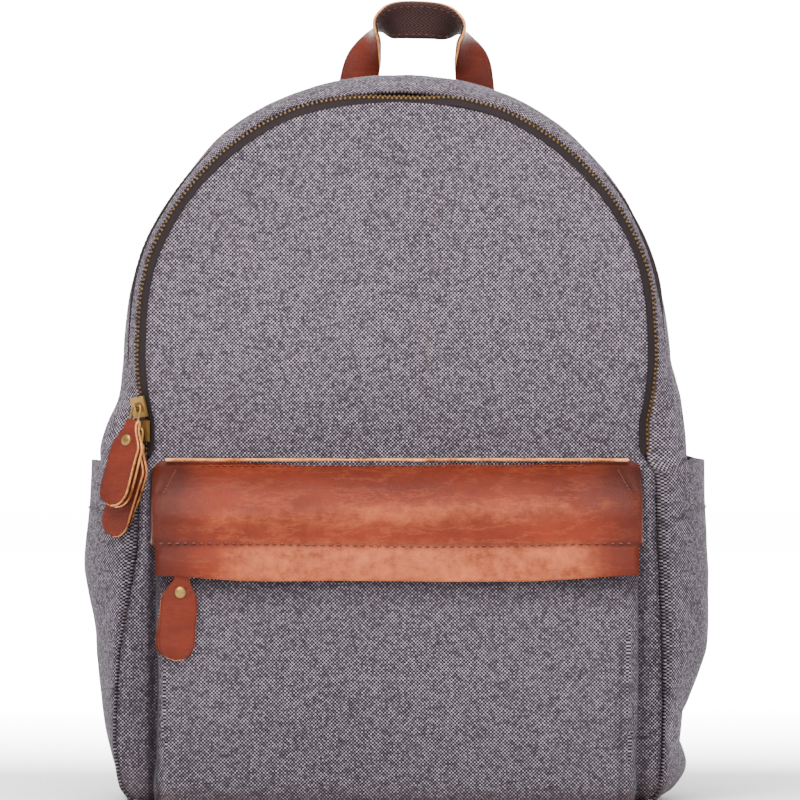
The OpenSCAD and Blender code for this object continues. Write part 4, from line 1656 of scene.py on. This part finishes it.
@dataclass
class SidePocket:
    """An open side pocket, slack and bellied, sewn into the side's seams.

    Attributes:
        side: -1 for left, 1 for right.
        belly: Half width of the bag over the pocket by height.
        hem: Depth of the hem.
    """

    form: Form
    outline: Outline
    side: int
    belly: Profile
    rim: float = 197.0
    hem: float = 27.0

    def rim_z(self, t: float) -> float:
        """Height of the rim from front to back."""
        return (
            self.rim - 8.0 * smooth(0.24, 0.0, t)
            + 1.6 * math.sin(t * 9.0 + self.side) - 1.2 * bell(t, 0.62, 0.12)
        )

    def place(self, t: float, v: float) -> Vector:
        """Place on the pocket, t from front to back and v from foot to rim."""
        f = self.form
        z = lerp(2.0, self.rim_z(t), v)
        front_x = self.outline.seam(self.side, z) + 0.8
        back_x = self.outline.side(self.side, z) - 8.0
        y = lerp(f.front + 1.4, f.back - 8, t)
        arc = math.sin(math.pi * min(1.0, t / 0.86)) ** 0.62 if t < 0.43 else 1.0 - smooth(0.43, 1.0, t)
        straight = lerp(front_x, back_x, t)
        x = straight + (self.belly(z) - straight) * max(0.0, arc)
        loose = smooth(0, 0.18, t) * smooth(1, 0.8, t)
        x += loose * (0.9 * rumple(self.side * 90, y, z, 40, 41.0) + 0.3 * rumple(0, y, z, 14, 42.0))
        if self.side > 0:
            ridge = 156 + 24 * smooth(146, 100, z)
            crease = bell(x, ridge, 3.0) * smooth(150, 140, z) * smooth(98, 108, z) * loose
            y -= 2.6 * crease
            dent = bell(z, 41, 9) * loose
            x -= 1.6 * dent
            y += 2.2 * bell(x, ridge - 10, 8) * smooth(150, 135, z) * smooth(90, 110, z) * loose
        else:
            y += 2.4 * bell(z, 88 + (x + 150) * 0.6, 9) * loose * 0.6
        return Vector((self.side * x, y, z))

    def build(self) -> None:
        """Builds the pocket, its hem and its stitching."""
        name = "left" if self.side < 0 else "right"

        def worn(u: float, v: float) -> float:
            """Browned foot, pale fold and rubbed hem."""
            p = self.place(u, v)
            return 0.6 * smooth(26, 6, p.z) + 0.35 * smooth(0.985, 1.0, v)

        def shaded(u: float, v: float) -> float:
            """Painted shade: some over the whole side, more along the front seam, at the foot and under the hem's
            stitches.
            """
            p = self.place(u, v)
            sewn = 0.25 * bell(p.z, self.rim_z(u) - self.hem - 2, 2.5)
            return 0.24 + 0.3 * smooth(0.03, 0.0, u) + 0.3 * smooth(16, 4, p.z) + sewn

        shape: Shape = lambda u, v: self.place(u, v)
        flat: Callable[[float, float], tuple[float, float]] = lambda u, v: (u * 160 + 600, self.place(u, v).z)
        Sheet(
            (64, 84), shape, (160, 200), facing(self.side, 0, 0), {"wear": worn, "shade": shaded}, flat
        ).piece(f"side_pocket_{name}_cloth", Finish.CANVAS).thicken(1.8).ride(
            "bag", "canvas", f"side_pocket_{name}"
        )

        def inner(u: float, v: float) -> Vector:
            """Place on the hem's turned-in leaf."""
            p = self.place(lerp(0.03, 0.97, u), 1 - (1 - v) * 0.13)
            return p - Vector((self.side * 2.4, 0, 0.2))

        Sheet((50, 5), inner, (150, 26), facing(-self.side, 0, 0)).piece(
            f"side_pocket_{name}_hem", Finish.CANVAS
        ).ride("bag", "canvas")
        path = []
        for t in [0.02 + 0.96 * k for k in steps(110)]:
            v = 1 - (self.hem + 0.8 * math.sin(t * 7)) / (self.rim_z(t) - 2.0)
            p = self.place(t, v)
            ahead, above = self.place(min(1, t + 0.01), v), self.place(t, v + 0.01)
            normal = (ahead - p).cross(above - p).normalized()
            if normal.x * self.side < 0:
                normal = -normal
            path.append(p + normal * 0.25)
        hem = Stitches(2.9, 1.0, 0.95).run(f"side_pocket_{name}_stitches", path, Finish.BLACK_THREAD)
        hem.ride("bag", "canvas")


# ---- handle ----


@dataclass
class Handle:
    """The grab handle: leather outside, herringbone webbing inside.

    Attributes:
        centre: Place of its middle across.
        depth: Depth of its feet.
        width: Width of the leather.
        web: Width of the webbing.
    """

    form: Form
    centre: float = 12.0
    depth: float = 55.0
    width: float = 22.5
    web: float = 21.5
    foot: float = 412.0

    def key(self, s: float) -> tuple[Vector, Vector]:
        """Middle line and width direction at s from left foot to right foot.

        Args:
            s: 0 at the left foot, 1 at the right one.

        Returns:
            Place and width direction.
        """
        half = Profile(
            (0, -35), (0.12, -31.4), (0.25, -26.6), (0.36, -21.6), (0.44, -11.5), (0.5, 0), (0.56, 13.5),
            (0.64, 25.5), (0.75, 29.5), (0.88, 33), (1, 35),
        )
        rise = Profile(
            (0, -5), (0.12, 12), (0.25, 26), (0.36, 36), (0.44, 39.2), (0.5, 39.6), (0.56, 38.6),
            (0.64, 34.5), (0.75, 25), (0.88, 12), (1, -6),
        )
        turn = Profile(
            (0, 4), (0.12, 20), (0.22, 50), (0.32, 84), (0.38, 124), (0.43, 156), (0.5, 168), (0.57, 154),
            (0.62, 124), (0.68, 84), (0.78, 50), (0.88, 20), (1, 4),
        )(s)
        spot = Vector((self.centre + half(s), self.depth - 3.0 * math.sin(math.pi * s), self.foot + rise(s)))
        along = (Vector((self.centre + half(min(1, s + 0.01)), 0, rise(min(1, s + 0.01))))
                 - Vector((self.centre + half(max(0, s - 0.01)), 0, rise(max(0, s - 0.01))))).normalized()
        inner = Vector((along.z, 0, -along.x))
        angle = math.radians(turn)
        wide = inner * math.cos(angle) - Vector((0, 1, 0)) * math.sin(angle)
        return spot, wide

    def place(self, u: float, v: float, width: float, off: float) -> Vector:
        """Place on the strip.

        Args:
            u: 0 to 1 across.
            v: 0 to 1 from left foot to right foot.
            width: Width of the strip.
            off: Height over the strip's middle surface.

        Returns:
            The place.
        """
        spot, wide = self.key(v)
        ahead = self.key(min(1.0, v + 0.005))[0] - self.key(max(0.0, v - 0.005))[0]
        normal = wide.cross(ahead.normalized()).normalized()
        bow = 0.8 * (1 - (2 * u - 1) ** 2)
        return spot + wide * ((u - 0.5) * width) + normal * (off + bow)

    def build(self) -> None:
        """Builds both layers and the rows of stitches along their edges."""
        f = self.form
        start, end = (self.centre, self.depth, 414.0), (self.centre, self.depth, 424.0)
        leather: Shape = lambda u, v: self.place(u, v, self.width, 0.75)
        webbing: Shape = lambda u, v: self.place(u, v, self.web, -0.75)
        pulled: Scalar = lambda u, v: 0.3 * bell(u, 0.5, 0.3) * (0.5 + 0.5 * math.sin(v * 23))
        # Painted shade at the feet and along the stitch lines.
        shade: Scalar = lambda u, v: 0.3 * smooth(0.08, 0, min(v, 1 - v)) + 0.2 * bell(abs(u - 0.5), 0.38, 0.05)
        marks = {"pull": pulled, "shade": shade}
        hide = Sheet((12, 120), leather, (self.width, 150), facing(0, 0, 0), marks).mesh()
        foot = min(hide.faces, key=lambda face: face.calc_center_median().x)
        if foot.normal.y > 0:
            bmesh.ops.reverse_faces(hide, faces=hide.faces)
        Piece.of("handle_hide", hide, Finish.TAB, Finish.RAW).thicken(1.5, 1, 0.0).bend(
            ("bag", "handle"), start, end, "leather", "handle_leather", "handle_anchor"
        )
        band = Sheet((12, 120), webbing, (self.web, 150), facing(0, 0, 0)).mesh()
        Piece.of("handle_web", band, Finish.WEBBING).thicken(1.4, 0, 0.0).bend(
            ("bag", "handle"), start, end, "webbing", "handle_webbing"
        )
        bm = bmesh.new()
        for edge in (0.13, 0.87):
            for off in (1.6, -1.6):
                path = [self.place(edge, lerp(0.21, 0.79, k), self.width, off) for k in steps(80)]
                Stitches(2.6, 1.4, 0.6).sew(bm, path)
        Piece.of("handle_stitches", bm, Finish.BROWN_THREAD).ride("handle", "leather")
        LOG.info("handle at X %.0f, arch radius %.1f", self.centre, f.arch_r)


# ---- padding ----


@dataclass
class Padding:
    """Swells a closed pad with a cloth simulation.

    Attributes:
        voxel: Size of the remesh in millimetres.
        pressure: Pressure inside the cloth.
        cap: How far a point may move in millimetres.
        frames: Frames that the cloth runs for.
    """

    voxel: float = 5.0
    pressure: float = 4.0
    cap: float = 4.0
    frames: int = 20

    def swell(self, piece: Piece) -> Piece:
        """Args:
            piece: Closed piece.

        Returns:
            The same piece, without its cloth coordinates.
        """
        piece.modify("REMESH", mode="VOXEL", voxel_size=self.voxel * MM, use_smooth_shade=True)
        obj, scene = piece.obj, bpy.context.scene
        before = [vert.co.copy() for vert in obj.data.vertices]
        cloth = obj.modifiers.new("cloth", "CLOTH")
        cloth.settings.use_pressure = True
        cloth.settings.uniform_pressure_force = self.pressure
        cloth.settings.effector_weights.gravity = 0.0
        cloth.point_cache.frame_start, cloth.point_cache.frame_end = 1, self.frames
        for step in range(1, self.frames + 1):
            scene.frame_set(step)
        graph = bpy.context.evaluated_depsgraph_get()
        after = [vert.co.copy() for vert in obj.evaluated_get(graph).data.vertices]
        obj.modifiers.clear()
        scene.frame_set(1)
        cap = self.cap * MM
        for vert, start, end in zip(obj.data.vertices, before, after):
            moved = end - start
            vert.co = start + moved * min(1.0, cap / max(moved.length, 1e-9))
        return piece.modify("SMOOTH", factor=0.5, iterations=2).subdivide()


def slab(name: str, cells: tuple[int, int], face: Shape, rear: Shape, finish: Finish) -> Piece:
    """A closed pad between two surfaces that share their border.

    Args:
        name: Name of the piece.
        cells: Cells across and along.
        face: Its front surface.
        rear: Its rear surface.
        finish: Its finish.

    Returns:
        The pad.
    """
    bm = bmesh.new()
    sheets = []
    for shape in (face, rear):
        old = set(bm.verts)
        bmesh.ops.create_grid(bm, x_segments=cells[0], y_segments=cells[1], size=0.5)
        fresh = [vert for vert in bm.verts if vert not in old]
        edges = [e for e in bm.edges if e.is_boundary and e.verts[0] not in old]
        for vert in fresh:
            vert.co = shape(vert.co.x + 0.5, vert.co.y + 0.5) * MM
        sheets.append(edges)
    bmesh.ops.bridge_loops(bm, edges=sheets[0] + sheets[1])
    bmesh.ops.recalc_face_normals(bm, faces=bm.faces)
    return Piece.of(name, bm, finish)


@dataclass
class BackPanel:
    """The padded back, its lining and the laptop sleeve.

    Attributes:
        thick: Thickness of the padding.
    """

    form: Form
    outline: Outline
    thick: float = 8.0
    inset: float = 5.5

    def half(self, z: float) -> float:
        """Half width of the back at a height."""
        f = self.form
        reach = f.arch_r - 3.5 - self.inset
        if z > f.arch_z:
            return math.sqrt(max(0.0, reach**2 - (z - f.arch_z) ** 2))
        return lerp(139.0 - 6 * smooth(30, 4, z), reach, smooth(150, 259.5, z))

    def spot(self, u: float, v: float, y: float, inset: float = 0.0) -> Vector:
        """Place on the back's outline.

        Args:
            u: 0 to 1 across.
            v: 0 to 1 up.
            y: Depth.
            inset: Distance in from its edge.

        Returns:
            The place.
        """
        f = self.form
        reach = f.arch_r - 3.5 - self.inset - inset
        straight, arc = f.arch_z - 6 - inset, reach * math.pi / 2
        run = v * (straight + arc)
        z = 6 + inset + run if run < straight else f.arch_z + reach * math.sin((run - straight) / reach)
        wide = self.half(z) - inset if z <= f.arch_z else math.sqrt(max(0.0, reach**2 - (z - f.arch_z) ** 2))
        return Vector((math.sin((2 * u - 1) * 1.3) / math.sin(1.3) * wide, y, z))

    def quilt(self, x: float, z: float) -> float:
        """Depth of the channels pressed into the padding."""
        rows = sum(bell(z, level, 3.4) for level in (96, 178, 262, 338))
        spine = bell(x, 0, 4.2) * smooth(60, 90, z) * smooth(390, 350, z)
        return 2.6 * max(min(1.0, rows) * smooth(128, 112, abs(x)), spine)

    def build(self) -> None:
        """Builds the pad, its binding, its stitches, the lining and the sleeve."""
        f = self.form
        face: Shape = lambda u, v: self.spot(u, v, f.back - 0.6)
        rear: Shape = lambda u, v: self.spot(u, v, f.back - self.thick)
        pad = Padding().swell(slab("back_pad", (44, 60), face, rear, Finish.CANVAS))
        self.cloth_uv(pad)
        for vert in pad.obj.data.vertices:
            x, y, z = (c / MM for c in vert.co)
            if y > f.back - 3.5:
                inside = smooth(0, 8, self.half(min(z, f.arch_z)) - abs(x)) if z < f.arch_z else smooth(
                    0, 8, f.arch_r - 9 - math.hypot(x, z - f.arch_z))
                vert.co.y = min(y - self.quilt(x, z) * inside, f.back + 4.0) * MM
        pad.ride("bag", "canvas", "back_panel", "back_foam")
        rim = []
        for k in steps(240):
            v = abs(2 * k - 1)
            p = self.spot(0.0 if k < 0.5 else 1.0, 1 - v, f.back - 1.2, -2.2)
            rim.append(p)
        swept("back_binding", rim, 2.2, Finish.BINDING, closed=True, sides=10).ride("bag", "canvas")
        bm = bmesh.new()
        for level in (96, 178, 262, 338):
            wide = min(112.0, self.half(level) - 18 if level < f.arch_z else 104.0)
            for side in (-1, 1):
                path = [Vector((side * lerp(8, wide, k), f.back - 1.6, level)) for k in steps(30)]
                Stitches().sew(bm, path)
        Stitches().sew(bm, [Vector((0, f.back - 1.6, lerp(80, 366, k))) for k in steps(40)])
        Piece.of("back_quilting", bm, Finish.GREY_THREAD).ride("bag", "canvas")
        lining_y: Scalar = lambda u, v: f.back - 11.6 + 0.4 * rumple(u * 200, 0, v * 300, 60, 51.0)
        lining: Shape = lambda u, v: self.spot(u, v, lining_y(u, v), -2.5)
        Sheet((40, 60), lining, (280, 400), facing(0, -1, 0)).piece(
            "back_lining_cloth", Finish.COTTON
        ).thicken(0.7).ride("bag", "lining", "back_lining")
        low, high = node_box("laptop_sleeve")

        def sleeve(u: float, v: float) -> Vector:
            """Place on the sleeve's front."""
            edge = smooth(0, 0.08, min(u, 1 - u))
            drop = 3.0 * math.sin(math.pi * u) * smooth(0.7, 1.0, v)
            y = lerp(high.y - 1.5, low.y, edge * smooth(0, 0.06, v))
            return Vector((lerp(low.x, high.x, u), y, lerp(low.z, high.z, v) - drop))

        Sheet((50, 50), sleeve, (270, 240), facing(0, -1, 0)).piece(
            "sleeve_cloth", Finish.COTTON
        ).thicken(1.6).ride("bag", "lining", "laptop_sleeve")
        top = [sleeve(lerp(0.01, 0.99, k), 1.0) + Vector((0, 0.8, 0)) for k in steps(70)]
        swept("sleeve_binding", top, 2.0, Finish.BINDING, closed=False).ride("bag", "lining")

    @staticmethod
    def cloth_uv(piece: Piece) -> None:
        """Lays cloth coordinates flat from behind onto a piece that lost them."""
        mesh = piece.obj.data
        layer = mesh.uv_layers.new(name="cloth")
        for loop in mesh.loops:
            co = mesh.vertices[loop.vertex_index].co
            layer.data[loop.index].uv = (co.x, co.z)


@dataclass
class Strap:
    """One shoulder strap: yoke end, padded band, ladder lock and webbing.

    Attributes:
        side: -1 for left, 1 for right.
        width: Width of the band.
    """

    form: Form
    side: int
    width: float = 60.0

    def build(self) -> None:
        """Builds the band, its binding, the webbing and the tab it is sewn into."""
        name = "left" if self.side < 0 else "right"
        body = f"strap_{name}"
        high = node_box(f"strap_pad_{name}")[1]
        hinge = joint(body)
        lock = middle(f"strap_lock_{name}")
        tab = middle(f"strap_tab_{name}")
        top = Vector((self.side * 45, hinge.y, min(hinge.z, high.z) - 1.0))
        slant = Vector((lock.x - top.x, 0, lock.z - top.z)).normalized()
        wide = Vector((0, 1, 0)).cross(slant).normalized()
        if wide.x * self.side < 0:
            wide = -wide
        path = Profile(
            (0, 0.0), (25, 5.5), (55, 15.5), (100, 24.5), (150, 28.5), (200, 26.5), (245, 20.5), (284, 14.0),
        )
        reach = (lock - top).dot(slant) - 14.0
        base_y = hinge.y

        def band(u: float, v: float, thick: float) -> Vector:
            """Place on the band's face, thick behind its middle."""
            run = v * reach
            end = smooth(0, 6, run) * 0.12 + 0.88
            taper = lerp(1.0, 0.48, smooth(reach * 0.82, reach, run))
            x = 2 * u - 1
            crown = math.sqrt(max(0.0, 1 - abs(x) ** 3.2))
            spot = top + slant * run + wide * (x * self.width / 2 * end * taper)
            return Vector((spot.x, base_y + path(run) + thick * crown, spot.z))

        face: Shape = lambda u, v: band(u, v, 3.4)
        rear: Shape = lambda u, v: band(u, v, -3.4)
        pad = slab(f"strap_{name}_pad", (22, 70), face, rear, Finish.CANVAS)
        pad = Padding(voxel=3.2, pressure=3.0, cap=1.5).swell(pad)
        BackPanel.cloth_uv(pad)
        pad.ride(body, "canvas", f"strap_pad_{name}")
        rim = []
        for u, order in ((0.0, steps(60)), (1.0, steps(60)[::-1])):
            rim += [band(u, max(0.004, v), 0.0) for v in order]
        swept(f"strap_{name}_binding", rim, 2.1, Finish.BINDING, sides=8).ride(body, "canvas")
        bm = bmesh.new()
        for u in (0.13, 0.87):
            for off in (4.6, -4.6):
                Stitches(3.0, 1.6, 0.6).sew(bm, [band(u, lerp(0.02, 0.96, k), off) for k in steps(80)])
        Piece.of(f"strap_{name}_stitches", bm, Finish.GREY_THREAD).ride(body, "canvas")
        self.webbing(name, body, band, lock, tab, slant, wide)

    def webbing(
        self, name: str, body: str, band: Callable, lock: Vector, tab: Vector, slant: Vector, wide: Vector
    ) -> None:
        """Builds the lock's short loop, the adjusting webbing with its tail, and the tab in the seam.

        Args:
            name: left or right.
            body: Body of the strap.
            band: Place on the padded band.
            lock: Middle of the lock.
            tab: Middle of the tab.
            slant: Direction down the strap.
            wide: Direction across the strap.
        """
        web = 24.0
        last = band(0.5, 1.0, 0.0)
        loop: Shape = lambda u, v: last.lerp(lock, v * 0.8) - slant * (6 * (1 - v)) + wide * ((u - 0.5) * web)
        short = Sheet((6, 8), loop, (web, 20), facing(0, 1, 0)).piece(f"strap_{name}_loop", Finish.WEBBING)
        short.thicken(1.5, 0, 0.0).ride(body, "webbing")
        end = Vector((tab.x - self.side * 6, tab.y + 1.5, tab.z + 4))

        def lower(u: float, v: float) -> Vector:
            """Place on the webbing from the lock to the tab."""
            sag = Vector((0, 1, -0.4)) * (4.0 * math.sin(math.pi * v))
            spot = lock.lerp(end, v) + sag
            direction = wide.lerp(Vector((self.side, 0, -0.45)), v * 0.5).normalized()
            return spot + direction * ((u - 0.5) * web)

        Sheet((6, 30), lower, (web, 90), facing(0, 1, 0)).piece(
            f"strap_{name}_webbing", Finish.WEBBING
        ).thicken(1.4, 0, 0.0).bend(("bag", body), tuple(end), tuple(lock), "webbing", f"strap_web_{name}")

        def tail(u: float, v: float) -> Vector:
            """Place on the free tail, with its folded end."""
            spot = lock + slant * (6 + 44 * v) + Vector((0, 5 + 5 * math.sin(v * 2.4), 0))
            return spot + wide * ((u - 0.5) * web)

        free = Sheet((6, 20), tail, (web, 52), facing(0, 1, 0)).piece(f"strap_{name}_tail", Finish.WEBBING)
        free.thicken(1.5, 0, 0.0).ride(body, "webbing")
        low, high = node_box(f"strap_tab_{name}")
        y = (low.y + high.y) / 2

        def wing(u: float, v: float) -> Vector:
            """Place on the three-cornered tab, wide at the seam."""
            tip = Vector((end.x, end.y, end.z + (u - 0.5) * web))
            root = Vector((self.side * 150, y - 1, lerp(low.z, high.z, u)))
            return root.lerp(tip, v) + Vector((0, 1.2 * math.sin(math.pi * v), 0))

        sewn = Sheet((12, 14), wing, (50, 40), facing(0, 1, 0)).piece(f"strap_{name}_tab", Finish.CANVAS)
        sewn.thicken(2.6, 0, 0.0).ride("bag", "canvas", f"strap_tab_{name}")


@dataclass
class Yoke:
    """The leather patch that holds both straps at the top of the back."""

    form: Form

    def build(self) -> None:
        """Builds the patch and its stitches."""
        low, high = node_box("strap_yoke")
        f = self.form
        y = low.y

        def shape(u: float, v: float) -> Vector:
            """Place on the patch, its top edge along the arch."""
            x = lerp(low.x, high.x, u)
            crown = f.arch_z + math.sqrt(max(0.0, (f.arch_r - 6) ** 2 - x * x))
            bottom = low.z + 3 * smooth(0.1, 0, min(u, 1 - u))
            return Vector((x, y + 1.0 + 0.7 * math.sin(math.pi * u), min(lerp(bottom, crown, v), crown)))

        pull: Scalar = lambda u, v: 0.3 * bell(v, 0.5, 0.3)
        Sheet((60, 14), shape, (high.x - low.x, 30), facing(0, 1, 0), {"pull": pull}).piece(
            "yoke_hide", Finish.LEATHER, Finish.RAW
        ).thicken(2.0, 1, 0.0).ride("bag", "leather", "strap_yoke")
        border = [shape(lerp(0.04, 0.96, k), 0.12) + Vector((0, 1.1, 0)) for k in steps(80)]
        border += [shape(lerp(0.96, 0.04, k), 0.88) + Vector((0, 1.1, 0)) for k in steps(80)]
        Stitches().run("yoke_stitches", border, Finish.BROWN_THREAD).ride("bag", "leather")


@dataclass
class Base:
    """The canvas bottom with its lining; the stiff board lies between them."""

    form: Form

    def build(self) -> None:
        """Builds bottom and lining."""
        low, high = node_box("base_panel")

        def sheet(z: float, inset: float) -> Shape:
            """Rounded rectangle at a height, drawn in from the panel's border."""

            def shape(u: float, v: float) -> Vector:
                """Place on it."""
                a, b = 2 * u - 1, 2 * v - 1
                pinch = 1 - 0.035 * (a * b) ** 2
                x, y = a * pinch * (high.x - inset), b * pinch * ((high.y - low.y) / 2 - inset)
                sag = 0.5 * rumple(x, y, 0, 50, 61.0)
                return Vector((x, (high.y + low.y) / 2 + y, z + 0.5 + max(sag, -0.4)))

            return shape

        # Painted shade along the bottom's border, and a little all over.
        shade: Scalar = lambda u, v: 0.35 * smooth(0.06, 0.0, min(u, v, 1 - u, 1 - v)) + 0.15
        wear: Scalar = lambda u, v: 0.5 * smooth(0.1, 0.0, min(u, v, 1 - u, 1 - v))
        marks = {"shade": shade, "wear": wear}
        Sheet((60, 30), sheet(low.z, 0.5), (310, 130), facing(0, 0, -1), marks).piece(
            "base_cloth", Finish.CANVAS
        ).thicken(1.6).ride("bag", "canvas", "base_panel")
        inner_low = node_box("base_lining")[0]
        Sheet((40, 20), sheet(inner_low.z, 6.0), (290, 120), facing(0, 0, 1)).piece(
            "base_inner", Finish.COTTON
        ).ride("bag", "lining", "base_lining")


# ---- carried-over hardware, stage ----


def dress_nodes() -> None:
    """Gives the kept hard parts their finishes."""
    kept = {
        "upper_slider": Finish.BRASS,
        "lower_slider": Finish.BRASS,
        "pocket_slider": Finish.BRASS,
        "strap_lock_left": Finish.PLASTIC,
        "strap_lock_right": Finish.PLASTIC,
        "base_board": Finish.BOARD,
    }
    for name, finish in kept.items():
        for slot in frame["nodes"][name].material_slots:
            slot.material = finish.material
        LOG.info("%s: %s", name, finish.value.name)


@dataclass(frozen=True)
class Stage:
    """Floor, light and camera.

    Attributes:
        turn: Camera's angle round the bag in degrees.
        rise: Camera's angle above the horizon.
        distance: Camera's distance in metres.
        lens: Its focal length.
        aim: Place that it looks at, in metres.
    """

    turn: float = -0.4
    rise: float = 1.6
    distance: float = 6.0
    lens: float = 465.5
    aim: tuple[float, float, float] = (0.0023, 0.0, 0.231)

    def build(self) -> None:
        """Builds floor, lights and camera."""
        self.floor()
        self.light("key", (-1.1, -2.0, 2.5), 1.4, 88.0)
        self.light("fill", (1.7, -2.2, 1.3), 1.8, 34.0)
        self.light("top", (-0.1, -0.7, 1.9), 1.2, 52.0)
        self.light("rear", (0.6, 2.6, 1.8), 2.0, 26.0)
        self.light("ground", (0.0, 1.2, 2.6), 3.0, 3000.0, (0.0, 8.0, 0.0))
        self.light("backdrop", (0.0, 6.0, 4.0), 3.0, 4500.0, (0.0, 10.5, 0.6))
        world = bpy.data.worlds.new("studio")
        world.use_nodes = True
        world.node_tree.nodes["Background"].inputs["Color"].default_value = (1.0, 1.0, 1.0, 1.0)
        world.node_tree.nodes["Background"].inputs["Strength"].default_value = 0.9
        bpy.context.scene.world = world
        lens = bpy.data.cameras.new("camera")
        lens.lens, lens.sensor_width, lens.clip_end = self.lens, 36.0, 60.0
        lens.dof.use_dof = False
        camera = bpy.data.objects.new("camera", lens)
        bpy.context.scene.collection.objects.link(camera)
        turn, rise = math.radians(self.turn), math.radians(self.rise)
        way = Vector((math.sin(turn) * math.cos(rise), -math.cos(turn) * math.cos(rise), math.sin(rise)))
        camera.location = Vector(self.aim) + way * self.distance
        camera.rotation_euler = (-way).to_track_quat("-Z", "Y").to_euler()
        bpy.context.scene.camera = camera

    def floor(self) -> None:
        """Builds a pale floor that curves up into a backdrop."""
        bm = bmesh.new()
        bmesh.ops.create_grid(bm, x_segments=4, y_segments=48, size=0.5)
        for vert in bm.verts:
            run = (vert.co.y + 0.5) * 25.0 - 12.0
            bend = max(0.0, run - 9.0)
            angle = min(bend / 1.5, math.pi / 2)
            rise = max(0.0, bend - 1.5 * math.pi / 2)
            y, z = min(run, 9.0) + 1.5 * math.sin(angle), 1.5 * (1 - math.cos(angle)) + rise
            vert.co = Vector((vert.co.x * 24.0, y, z))
        g = Graph("floor")
        grain = g.noise(g.place(), 3.0, 2.0, 0.5)
        colour = g.mix(grain, ink(251, 251, 251), ink(254, 254, 254))
        g.dress(colour, 0.9, grain, 0.0001)
        mesh = bpy.data.meshes.new("floor")
        bm.to_mesh(mesh)
        bm.free()
        mesh.materials.append(g.material)
        mesh.shade_smooth()
        floor = bpy.data.objects.new("floor", mesh)
        bpy.context.scene.collection.objects.link(floor)

    def light(
        self,
        name: str,
        at: tuple[float, float, float],
        size: float,
        power: float,
        aim: tuple[float, float, float] = (0.0, 0.0, 0.22),
    ) -> None:
        """Adds a soft square light aimed at the bag or the backdrop."""
        data = bpy.data.lights.new(name, "AREA")
        data.size, data.energy = size, power
        lamp = bpy.data.objects.new(name, data)
        lamp.location = at
        lamp.rotation_euler = (Vector(aim) - Vector(at)).to_track_quat("-Z", "Y").to_euler()
        bpy.context.scene.collection.objects.link(lamp)


def main() -> None:
    """Builds the bag piece by piece, then its stage."""
    logging.basicConfig(level=logging.INFO, format="%(name)s: %(message)s")
    form = Form.read()
    outline = Outline(form)
    LOG.info("arch radius %.1f about Z %.1f, fold at Z %.1f", form.arch_r, form.arch_z, form.fold_z)
    FrontPanel(form, outline).build()
    Shell(form, outline).build()
    ZipRun(form).build()
    left_belly = Profile(
        (2, 150), (8, 157), (21, 162.5), (41, 168), (61, 170.8), (81, 172.8), (101, 174.4), (121, 178.4),
        (141, 180.2), (167, 177.6), (190, 176.6),
    )
    right_belly = Profile(
        (2, 151), (7, 160), (15, 166.5), (22, 168), (31, 166), (40, 163.4), (48, 165.2), (61, 170.6),
        (74, 175.6), (88, 179.6), (108, 180.6), (128, 180.8), (154, 179.8), (170, 179), (196, 178.6),
    )
    SidePocket(form, outline, -1, left_belly, rim=196.0).build()
    SidePocket(form, outline, 1, right_belly, rim=198.5).build()
    FrontPocket(form).build()
    chamfer = Vector((-ROOT_HALF, -ROOT_HALF, 0))
    Pull("upper", tilted(chamfer), gap=4.5).build()
    Pull("lower", chamfer, gap=3.0, length=53.0, sway=3.0, lift=5.0).build()
    Pull("pocket", Vector((0, -1, 0)), ring=9.5, gap=3.0).build()
    Handle(form).build()
    BackPanel(form, outline).build()
    Yoke(form).build()
    Strap(form, -1).build()
    Strap(form, 1).build()
    Base(form).build()
    dress_nodes()
    Stage().build()


def tilted(out: Vector) -> Vector:
    """Face direction of the upper pull, square to its bar and its rivet's drop."""
    drop = middle("upper_rivet") - joint("upper_pull")
    bar = axis("upper_pull")
    face = bar.cross(drop).normalized()
    return face if face.dot(out) > 0 else -face


if __name__ == "__main__":
    main()
